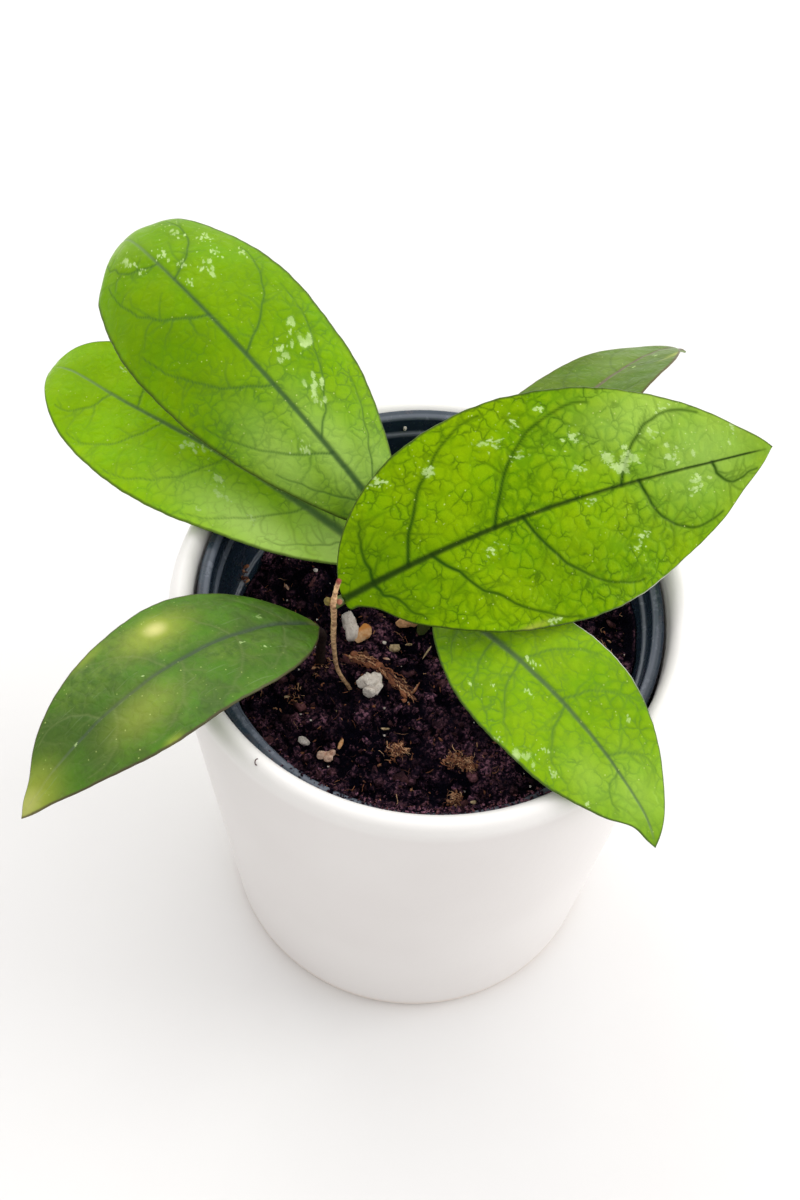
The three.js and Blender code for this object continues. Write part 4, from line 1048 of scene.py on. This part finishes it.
def build_perlite_dust():
    rng = np.random.default_rng(22)
    dust = Gathered()
    for place in scattered(rng, PERLITE_GRAINS):
        size = rng.uniform(0.14, 0.4) * np.array([1, rng.uniform(0.7, 1), 0.8])
        points, faces = lump(rng, size, 1, 0.3)
        dust.add(tumbled(rng, points, place + (0, 0, 0.3)), faces)
    points, faces = lump(rng, (0.5, 0.45, 0.7), 2, 0.25)
    dust.add(points + np.array(LEDGE_GRAIN), faces)
    dust.make("perlite_dust", "perlite", bpy.data.materials["perlite_grain"], smooth=False)


def fibre(rng, start, heading, length, radius, lift, curl):
    """One coir fibre: a thin tapered bar that wanders off and rises a little."""
    steps = 8
    route = [np.array(start, float)]
    pitch = rng.uniform(0, lift)
    for _ in range(steps):
        heading += rng.normal(0, curl)
        pitch += rng.normal(-0.12, 0.2)
        flat = math.cos(pitch)
        ahead = np.array([math.cos(heading) * flat, math.sin(heading) * flat, math.sin(pitch)])
        route.append(route[-1] + length / steps * ahead)
    return tube(route, radius * np.linspace(1, 0.35, steps + 1), 4)


def build_fibres():
    rng = np.random.default_rng(23)
    fibres = Gathered()

    def add(start, heading, length, radius, lift, curl, darkness):
        points, faces = fibre(rng, start, heading, length, radius, lift, curl)
        fibres.add(points, faces, tint=rng.uniform(0, 1) ** darkness)

    def flake(place, size):
        radii = size * np.array([1, rng.uniform(0.3, 0.6), rng.uniform(0.15, 0.35)])
        points, faces = lump(rng, radii, 1, 0.35)
        fibres.add(tumbled(rng, points, place), faces, tint=rng.uniform(0, 0.75))

    for place in scattered(rng, LOOSE_FIBRES):
        add(place, rng.uniform(0, 6.28), rng.uniform(1, 4), rng.uniform(0.05, 0.12), 0.4, 0.3, 1.5)
    for place in scattered(rng, LOOSE_FLAKES):
        flake(place + (0, 0, 0.15), rng.uniform(0.25, 0.8))
    for x, y, count, spread in TUFTS:
        for _ in range(count):
            away_x, away_y = rng.normal(0, spread / 2.4), rng.normal(0, spread / 2.4)
            place = on_soil(x + away_x, y + away_y, rng.uniform(0, 1.3))
            add(place, rng.uniform(0, 6.28), rng.uniform(0.7, 2.2), rng.uniform(0.05, 0.15), 0.8, 0.5, 0.7)
            flake(place + rng.normal(0, 0.5, 3) * (1, 1, 0.5), rng.uniform(0.2, 0.6))
    for place, size in WALL_FLAKES:
        for _ in range(FLAKES_IN_A_PATCH):
            flake(np.array(place) + rng.normal(0, (0.3, 0.6, 0.9)), size * rng.uniform(0.35, 0.8))
    curl = np.radians(np.linspace(70, 290, 9))
    hair = np.array(LIP_HAIR) + np.stack([0.4 * np.cos(curl), 0.75 * np.sin(curl), 0 * curl], -1)
    fibres.add(*tube(hair, 0.12, 5), tint=0.0)
    fibres.make("soil_fibres", "bark", fibre_finish())


def build_bits():
    """Perlite granules and bark chips, each in a piece of its own, then each kind's splinters in one."""
    finishes = {"perlite": perlite_finish()}
    for look, (light, dark, scale, tip) in CHIP_LOOKS.items():
        finishes[look] = bark_finish(look, light, dark, scale, tip)
    slots = {look: "perlite" if look == "perlite" else "bark_chip" for look in finishes}
    for index, (name, bit) in enumerate(CRUMBS.items()):
        rng = np.random.default_rng(40 + index)
        look, radii = bit["look"], np.array(bit["radii"])
        centre = on_soil(*bit["at"], radii[2] * (1 - 2 * CRUMB_SUNK))
        lobes = Gathered()
        for x, y, z, size in bit.get("lobes", [(0, 0, 0, 1)]):
            pitted = 0.24 if look == "perlite" else 0.13
            points, faces = chunk(rng, radii * size, 4, bit["cuts"], 0.1, pitted)
            points = points + (x, y, z) * radii
            reddish = smoothstep(-0.2, 0.5, points[:, 1] / radii[1] - points[:, 0] / radii[0])
            numbers = {"tint": reddish} if look == "chip_orange" else {}
            lobes.add(spun(points, bit["turn"]) + centre, faces, **numbers)
        lobes.make(name + "_rough", slots[look], finishes[look], name)
    loose = {}
    rng = np.random.default_rng(60)
    for x, y, length, breadth, turn, look in SPLINTERS:
        points, faces = chunk(rng, (length / 2, breadth / 2, breadth / 2.4), 3, 8)
        loose.setdefault(look, Gathered()).add(spun(points, turn) + on_soil(x, y, 0.75), faces)
    for look, splinters in loose.items():
        splinters.make("loose_" + look, slots[look], finishes[look])


def build_bark():
    """A torn strip: knotty lumps along it, bound by loose strands, with frayed ends and a side twig."""
    rng = np.random.default_rng(31)
    route = smooth_route([on_soil(*place, 1.0) for place in BARK_ROUTE], BARK_STEPS)
    strip = Gathered()
    for index, girth in BARK_KNOTS:
        along = route[min(index + 3, BARK_STEPS - 1)] - route[max(index - 3, 0)]
        heading = math.degrees(math.atan2(along[1], along[0]) + rng.normal(0, 0.3))
        points, faces = chunk(rng, (1.8, 0.9 * girth, 0.7 * girth), 3, 8, 0.3)
        points = spun(points, heading) + route[index] + rng.normal(0, (0.3, 0.3, 0.1))
        strip.add(points, faces, tint=rng.uniform(0.05, 0.5))
    for x, y, size in BARK_CRUMBS:
        points, faces = chunk(rng, (size, 0.8 * size, 0.8 * size), 3, 8, 0.3)
        strip.add(points + on_soil(x, y, 1.1), faces, tint=rng.uniform(0.1, 0.5))
    for _ in range(BARK_STRANDS):
        start = rng.integers(0, BARK_STEPS - 14)
        end = min(BARK_STEPS, start + rng.integers(6, 22))
        offset = rng.normal(0, (0.5, 0.5, 0.3)) + (0, 0, 0.45)
        wander = np.cumsum(rng.normal(0, 0.16, (end - start, 3)), 0)
        path = route[start:end] + offset + wander * (1, 1, 0.5)
        points, faces = tube(path, rng.uniform(0.08, 0.25) * np.linspace(1, 0.4, len(path)), 5)
        strip.add(points, faces, tint=rng.uniform(0, 1) ** 1.3)
    for _ in range(3):
        twig = smooth_route([on_soil(x, y, 0.8) + rng.normal(0, 0.2, 3) for x, y in BARK_TWIG], 12)
        strip.add(*tube(twig, np.linspace(0.25, 0.1, 12), 5), tint=rng.uniform(0.3, 0.9))
    strip.make("bark_strip_frayed", "bark", bpy.data.materials["soil_fibre"], "bark_strip")


def spine(leaf, t):
    """Midrib points, sideways and upward directions at the shares t of the leaf's length."""
    def angles(share):
        """Cosine and sine of the heading, then of the pitch."""
        curl = np.clip((share - CURL_START) / (1 - CURL_START), 0, None) ** 2
        hook = np.clip((share - HOOK_START) / (1 - HOOK_START), 0, None) ** 1.5
        heading = np.radians(leaf["heading"] + leaf["sweep"] * share + leaf["swerve"] * hook)
        pitch = np.radians(leaf["pitch"] - leaf["arch"] * share - leaf["curl"] * curl - leaf["hook"] * hook)
        return np.cos(heading), np.sin(heading), np.cos(pitch), np.sin(pitch)

    steps = np.linspace(0, 1, SPINE_STEPS + 1)
    east, north, level, rise = angles((steps[1:] + steps[:-1]) / 2)
    along = np.stack([level * east, level * north, rise], -1)
    places = np.vstack([(0, 0, 0), np.cumsum(along, 0)]) * leaf["length"] / SPINE_STEPS
    places = places + np.array(leaf["base"])
    points = np.stack([np.interp(t, steps, places[:, axis]) for axis in range(3)], -1)
    east, north, level, rise = angles(t)
    flat_side = np.stack([north, -east, 0 * east], -1)
    flat_up = np.stack([-east * rise, -north * rise, level], -1)
    roll = np.radians(leaf["roll"] + leaf["twist"] * t)[:, None]
    side = np.cos(roll) * flat_side + np.sin(roll) * flat_up
    up = np.cos(roll) * flat_up - np.sin(roll) * flat_side
    return points, side, up


def half_width(leaf, t, hand):
    along = t ** (leaf["skew_power"] * (1 + leaf["lopside"] * hand))
    widest = BLADE_BASE_POWER / (BLADE_BASE_POWER + leaf["tip_power"])
    outline = (along / widest) ** BLADE_BASE_POWER * ((1 - along) / (1 - widest)) ** leaf["tip_power"]
    phase = 5 * hand + leaf["seed"]
    wobble = 1 + 0.0025 * np.sin(31 * t + phase) + 0.0025 * np.sin(83 * t + 2 * phase)
    wobble = wobble + 0.0015 * np.sin(190 * t)
    tip_pinch = np.where(hand > 0, leaf["tip_pinch"][1], leaf["tip_pinch"][0])
    base_pinch = np.where(hand > 0, leaf["base_pinch"][1], leaf["base_pinch"][0])
    outline *= 1 - tip_pinch * np.exp(-((t - 0.93) / 0.045) ** 2) - base_pinch * np.exp(-(t / 0.06) ** 2)
    half = leaf["width"] / 2 * outline * wobble
    for place, edge, amount, spread in leaf["trims"]:
        half = half + np.where(hand * edge > 0, amount, 0) * np.exp(-((t - place) / spread) ** 2)
    return np.maximum(half, NARROWEST_HALF_WIDTH * (1 - 0.8 * t))


def vein_routes(leaf):
    """The side veins, which kink a little, then their branches.

    Each has its places, breadth and strength, and whether it is a side vein.
    """
    rng = np.random.default_rng(leaf["seed"] + 100)
    u = np.linspace(0, 1, 26)
    routes = []

    def kinks(amount):
        return np.interp(u, np.linspace(0, 1, 11), rng.normal(0, amount, 11)) * np.minimum(1, 5 * u)

    for hand, veins in ((1, leaf["right_veins"]), (-1, leaf["left_veins"])):
        for start, end, reach in veins:
            t = start + (end - start) * (0.5 * u + 0.5 * u ** 2)
            s = reach * (1 - (1 - u) ** 1.6)
            x = t * leaf["length"] + kinks(0.26)
            y = hand * s * half_width(leaf, t, hand) + kinks(0.22)
            routes.append((x, y, leaf["vein_width"] * (1 - 0.35 * u), 1 - 0.35 * u, True))
            for place in np.sort(rng.uniform(0.1, 0.98, leaf["branches"])):
                a = int(place * 24)
                turn = rng.choice((-1, 1)) * rng.uniform(0.6, 1.25)
                heading = math.atan2(y[a + 1] - y[a], x[a + 1] - x[a]) + turn
                headings = heading + np.cumsum(rng.normal(0, 0.28, 7))
                step = rng.uniform(3, 8.5) / 7
                branch_x = x[a] + np.append(0, np.cumsum(np.cos(headings))) * step
                branch_y = y[a] + np.append(0, np.cumsum(np.sin(headings))) * step
                kept = np.cumprod(branch_y * hand > 0.4).astype(bool)
                if kept.sum() > 1:
                    fade = np.linspace(0.62, 0.25, 8) * (1 - 0.3 * place)
                    routes.append((branch_x[kept], branch_y[kept], np.full(8, 0.3)[kept], fade[kept], False))
    return routes


def vein_strength(leaf, x, y):
    """From 0 to 1 over the flattened blade: how much of a vein lies at each place, and near a side vein."""
    strength, halo = np.zeros(x.shape), np.zeros(x.shape)
    for vein_x, vein_y, breadth, power, is_side_vein in vein_routes(leaf):
        for a in range(len(vein_x) - 1):
            step_x, step_y = vein_x[a + 1] - vein_x[a], vein_y[a + 1] - vein_y[a]
            near = np.abs(x - vein_x[a]) + np.abs(y - vein_y[a]) < (5 if is_side_vein else 2.5)
            away_x, away_y = x[near] - vein_x[a], y[near] - vein_y[a]
            share = np.clip((away_x * step_x + away_y * step_y) / (step_x ** 2 + step_y ** 2), 0, 1)
            distance = np.hypot(away_x - share * step_x, away_y - share * step_y)
            strength[near] = np.maximum(strength[near], power[a] * np.exp(-(distance / breadth[a]) ** 2))
            if is_side_vein:
                halo[near] = np.maximum(halo[near], power[a] ** 2 * np.exp(-(distance / 1.7) ** 2))
    return strength, halo


def blade(leaf):
    """Points, faces and stored numbers of a closed blade, with grooves over the veins and a keel below."""
    rng = np.random.default_rng(leaf["seed"])
    share = np.linspace(0, 1, round(leaf["length"] / ROW_SPACING) + 1)
    t = (0.7 * share + 0.3 * 0.5 * (1 - np.cos(np.pi * share)))[:, None]
    half_columns = round(leaf["width"] / 2 / COLUMN_SPACING)
    inner = np.linspace(0, 1 - 1.2 * EDGE_ROUND / (leaf["width"] / 2), half_columns)
    right = np.append(inner[1:], [1 - 0.5 * (1 - inner[-1]), 1 - 0.18 * (1 - inner[-1]), 1])
    s = np.concatenate([-right[::-1], [0], right])
    outward = np.abs(s)
    hand = np.where(s < 0, -1, 1)
    centre, side, up = spine(leaf, t[:, 0])
    half = half_width(leaf, t, hand)
    x = np.repeat(t * leaf["length"], len(s), 1)
    y = half * s
    lift = np.radians(leaf["fold"] + leaf["cup"] * outward)

    vein, halo = vein_strength(leaf, x, y)
    halo = np.maximum(halo, np.exp(-(y / (1.5 + 2.5 * (1 - t) ** 2)) ** 2))
    midrib_width = 0.3 + 0.75 * leaf["midrib_growth"] * (1 - t) ** 1.5
    midrib = np.exp(-(np.abs(y) / midrib_width) ** 3.5) * smoothstep(1.0, 0.93, t)
    edge_distance = half * (1 - outward)
    round_off = np.sqrt(1 - (1 - np.clip(edge_distance / EDGE_ROUND, 0, 1)) ** 2)
    thickness = MIDRIB_THICKNESS + (MARGIN_THICKNESS - MIDRIB_THICKNESS) * outward
    thin_end = np.clip(half.min(1, keepdims=True) / 2, 0.35, 1)
    phases = rng.uniform(0, 6.28, 4)
    quilt = np.sin(0.42 * x + phases[0]) * np.sin(0.5 * y + phases[1])
    quilt = QUILT_HEIGHT * (quilt + 0.5 * np.sin(0.9 * x - 0.7 * y + phases[2]))
    wave = WAVE_HEIGHT * np.sin(0.19 * x + phases[3] + np.where(y > 0, 1.4, 0)) * outward ** 3
    fade = np.clip(edge_distance / 3, 0, 1)

    def surface(sign, sunk):
        height = sign * thickness / 2 * round_off * thin_end + wave + (quilt - sunk) * fade
        across = y * np.cos(lift) - height * hand * np.sin(lift)
        rise = np.abs(y) * np.sin(lift) + height * np.cos(lift)
        return centre[:, None] + across[..., None] * side[:, None] + rise[..., None] * up[:, None]

    top = surface(1, MIDRIB_GROOVE * midrib * (1 - 0.6 * t) + VEIN_GROOVE * vein)
    bottom = surface(-1, KEEL_DEPTH * np.exp(-(y / 1.3) ** 2) * (1 - t) + UNDERSIDE_GROOVE * vein)
    rows, columns = x.shape
    kept = sorted({0, columns - 1, *range(0, columns, UNDERSIDE_COLUMN_STEP), columns // 2})[1:-1]
    points = np.vstack([top.reshape(-1, 3), bottom[:, kept].reshape(-1, 3)])
    top_index = np.arange(x.size).reshape(rows, columns)
    low_index = x.size + np.arange(rows * len(kept)).reshape(rows, -1)
    low_index = np.concatenate([top_index[:, :1], low_index, top_index[:, -1:]], 1)
    faces = []
    for grid, order in ((top_index, (0, 1, 2, 3)), (low_index, (0, 3, 2, 1))):
        corners = grid[:-1, :-1], grid[:-1, 1:], grid[1:, 1:], grid[1:, :-1]
        faces.extend(np.stack([corners[corner] for corner in order], -1).reshape(-1, 4).tolist())
    faces.append([*top_index[0, ::-1], *low_index[0, 1:-1]])
    faces.append([*top_index[-1], *low_index[-1, -2:0:-1]])

    def away_from(place_t, place_s):
        """How far each point lies along and across from a place given in shares."""
        middle = place_s * half_width(leaf, np.array(place_t), 1 if place_s > 0 else -1)
        return x - place_t * leaf["length"], y - middle

    def spots(places):
        value = np.zeros(x.shape)
        for spot_t, spot_s, radius_x, radius_y, weight in places:
            away_x, away_y = away_from(spot_t, spot_s)
            value = np.maximum(value, weight * np.exp(-np.hypot(away_x / radius_x, away_y / radius_y) ** 2))
        return value

    def flecks():
        value = np.zeros(x.shape)
        for spot_t, spot_s, radius in leaf["splashes"]:
            spot_x, spot_y = away_from(spot_t, spot_s)
            for number in range(9 + int(5 * radius)):
                spread = 0.55 if number < 9 else 0.9
                away_x = spot_x - rng.normal(0, spread * radius)
                away_y = spot_y - rng.normal(0, 0.6 * spread * radius)
                long = rng.uniform(0.13, 0.3) * radius if number < 9 else rng.uniform(0.1, 0.28)
                lean = rng.normal(0.6, 0.4)
                far = (away_x * math.cos(lean) + away_y * math.sin(lean)) / long
                aside = (away_y * math.cos(lean) - away_x * math.sin(lean)) / (long * rng.uniform(0.35, 0.7))
                value = np.maximum(value, np.exp(-0.5 * (far ** 2 + aside ** 2)))
        return value

    def both(values):
        """The values of the upper surface's points, then those of the underside's."""
        values = np.broadcast_to(values, x.shape)
        return np.concatenate([values.ravel(), values[:, kept].ravel()])

    numbers = {
        "vein": both(vein), "halo": both(halo), "midrib": both(midrib),
        "paling": both(smoothstep(0.7, 0.95, t)),
        "margin": both(edge_distance), "fleck": both(flecks()), "blush": both(spots(leaf["blushes"])),
        "bloom_and_sheen": both(spots(leaf["blooms_and_sheens"])), "shade": both(spots(leaf["shades"])),
        "painted_glint": both(spots(leaf["painted_glints"])), "net": both(1 - 0.75 * smoothstep(*leaf["net_fade"], t)),
        "under": (np.arange(len(points)) >= x.size).astype(float),
        "blade": np.stack([both(x), both(y), np.full(len(points), leaf["seed"] * 7.0)], -1),
    }
    return points, faces, numbers


def petiole(leaf):
    """Bar from under the midrib back to the stem's node, or down into the soil."""
    t, depth = np.array(PETIOLE_ROOT).T
    centre, _, up = spine(leaf, t)
    route = [*(centre - up * depth[:, None]), *leaf["petiole"]]
    if leaf["foot"]:
        route.append(leaf["foot"])
    share = np.linspace(0, 1, PETIOLE_STEPS)
    radii = PETIOLE_RADIUS * (0.35 + 0.65 * smoothstep(0, 0.4, share))
    radii = radii * (1 + 0.25 * smoothstep(0.75, 1, share))
    return tube(smooth_route(route, PETIOLE_STEPS), radii, 16)


def build_leaves():
    skin = petiole_finish()
    buried_skin = bark_finish("buried_stalk", (0.035, 0.018, 0.014), (0.012, 0.006, 0.006), 0.9)
    for name, own_values in LEAVES.items():
        leaf = {**USUAL_LEAF, **own_values}
        look = {**USUAL_LOOK, **LOOKS[leaf["look"]]}
        points, faces, numbers = blade(leaf)
        stalk_points, stalk_faces = petiole(leaf)
        blank = {key: np.zeros((len(stalk_points), *values.shape[1:])) for key, values in numbers.items()}
        whole = Gathered()
        whole.add(points, faces, **numbers)
        whole.add(stalk_points, stalk_faces, **blank)
        finish = leaf_finish(name + "_skin", look, float(leaf["seed"]))
        piece = whole.make(name + "_blade", look["slot"], finish, name)
        add_second_finish(piece, skin if leaf["foot"] else buried_skin, len(faces))


def build_stems():
    path = smooth_route(STEM_PATH, 90)
    height = path[:, 2]
    swell = sum(np.exp(-((height - node[2]) / 1.3) ** 2) for node in (STEM_LOWER_NODE, STEM_UPPER_NODE))
    points, faces = tube(path, STEM_RADIUS + 0.75 * swell - 1.2 * smoothstep(123.5, 125.5, height), 20)
    make_object("stem_green", points, faces, "green_stem", bpy.data.materials["petiole_skin"], "stem")

    rng = np.random.default_rng(51)
    path = smooth_route(SHOOT_PATH, SHOOT_STEPS)
    height = path[:, 2]
    swell = np.exp(-(height - SHOOT_NODE[2]) ** 2)
    taper = 0.72 + 0.28 * smoothstep(105, 134, height) - 0.22 * smoothstep(141.5, 144, height)
    radii = SHOOT_RADIUS * (taper + 0.04 * np.sin(np.arange(SHOOT_STEPS) * 0.9) + 0.5 * swell)
    radii = radii * (1 + rng.normal(0, 0.03, SHOOT_STEPS))
    points, faces = tube(path, radii, 14)
    large, large_faces = lump(rng, LARGE_BUD[1], 3, 0.12)
    small, small_faces = lump(rng, SMALL_BUD[1], 3, 0.12)
    shoot = Gathered()
    shoot.add(points, faces, tint=smoothstep(146.6, 148, points[:, 2]))
    shoot.add(small + np.array(SMALL_BUD[0]), small_faces, tint=0.75)
    shoot.add(large + np.array(LARGE_BUD[0]), large_faces, tint=0.0)
    bark = bark_finish("shoot_bark", (1.0, 0.66, 0.36), (0.32, 0.15, 0.085), 0.8, (0.25, 0.05, 0.04))
    scale = bark_finish("bud_scale", (0.3, 0.24, 0.06), (0.1, 0.075, 0.025), 0.9)
    piece = shoot.make("shoot_brown", "dry_stem", bark, "shoot")
    add_second_finish(piece, scale, len(faces) + len(small_faces))


def build_studio():
    bpy.ops.mesh.primitive_plane_add(size=12)
    floor = bpy.context.object
    floor.name = "table_top"
    floor.data.materials.append(floor_finish())

    world = bpy.data.worlds.new("soft_room")
    bpy.context.scene.world = world
    world.use_nodes = True
    tree = world.node_tree
    facing = tree.nodes.new("ShaderNodeVectorMath")
    facing.operation = "DOT_PRODUCT"
    facing.inputs[1].default_value = Vector(BRIGHTEST_SKY).normalized()
    tree.links.new(tree.nodes.new("ShaderNodeTexCoord").outputs["Generated"], facing.inputs[0])
    ramp = tree.nodes.new("ShaderNodeMapRange")
    tree.links.new(facing.outputs["Value"], ramp.inputs["Value"])
    ramp.inputs["From Min"].default_value = -1
    ramp.inputs["To Min"].default_value = SKY_DARKEST
    ramp.inputs["To Max"].default_value = SKY_BRIGHTEST
    back = tree.nodes["Background"]
    tree.links.new(ramp.outputs[0], back.inputs["Strength"])
    back.inputs["Color"].default_value = (1, 0.99, 0.98, 1)

    for name, place, size, power in WINDOWS:
        light = bpy.data.lights.new(name, "AREA")
        light.shape = "SQUARE"
        light.size = size
        light.energy = power
        lamp = bpy.data.objects.new(name, light)
        lamp.location = place
        lamp.rotation_mode = "QUATERNION"
        lamp.rotation_quaternion = (Vector((0, 0, 0.1)) - Vector(place)).to_track_quat("-Z", "Y")
        bpy.context.scene.collection.objects.link(lamp)


def build_camera():
    """Looks down at the aim from the front, then turned by its own small yaw, pitch and roll."""
    data = bpy.data.cameras.new("camera")
    data.sensor_width = SENSOR
    data.lens = FOCAL_PIXELS * SENSOR / IMAGE_HEIGHT
    data.clip_start = 0.01
    camera = bpy.data.objects.new("camera", data)
    turn = Matrix.Rotation(math.radians(90 - CAMERA_ELEVATION), 4, "X")
    place = turn @ Vector((0, 0, CAMERA_DISTANCE)) + Vector((0, 0, CAMERA_AIM_HEIGHT))
    for degrees, axis in ((CAMERA_YAW, "Y"), (CAMERA_PITCH, "X"), (-CAMERA_ROLL, "Z")):
        turn = turn @ Matrix.Rotation(math.radians(degrees), 4, axis)
    camera.matrix_world = Matrix.Translation(place * MM) @ turn
    bpy.context.scene.collection.objects.link(camera)
    bpy.context.scene.camera = camera
    bpy.context.scene.view_settings.view_transform = "Standard"


build_camera()
build_studio()
build_cover_pot()
build_nursery_pot()
build_soil()
build_soil_crumbs()
build_bits()
build_perlite_dust()
build_fibres()
build_bark()
build_leaves()
build_stems()
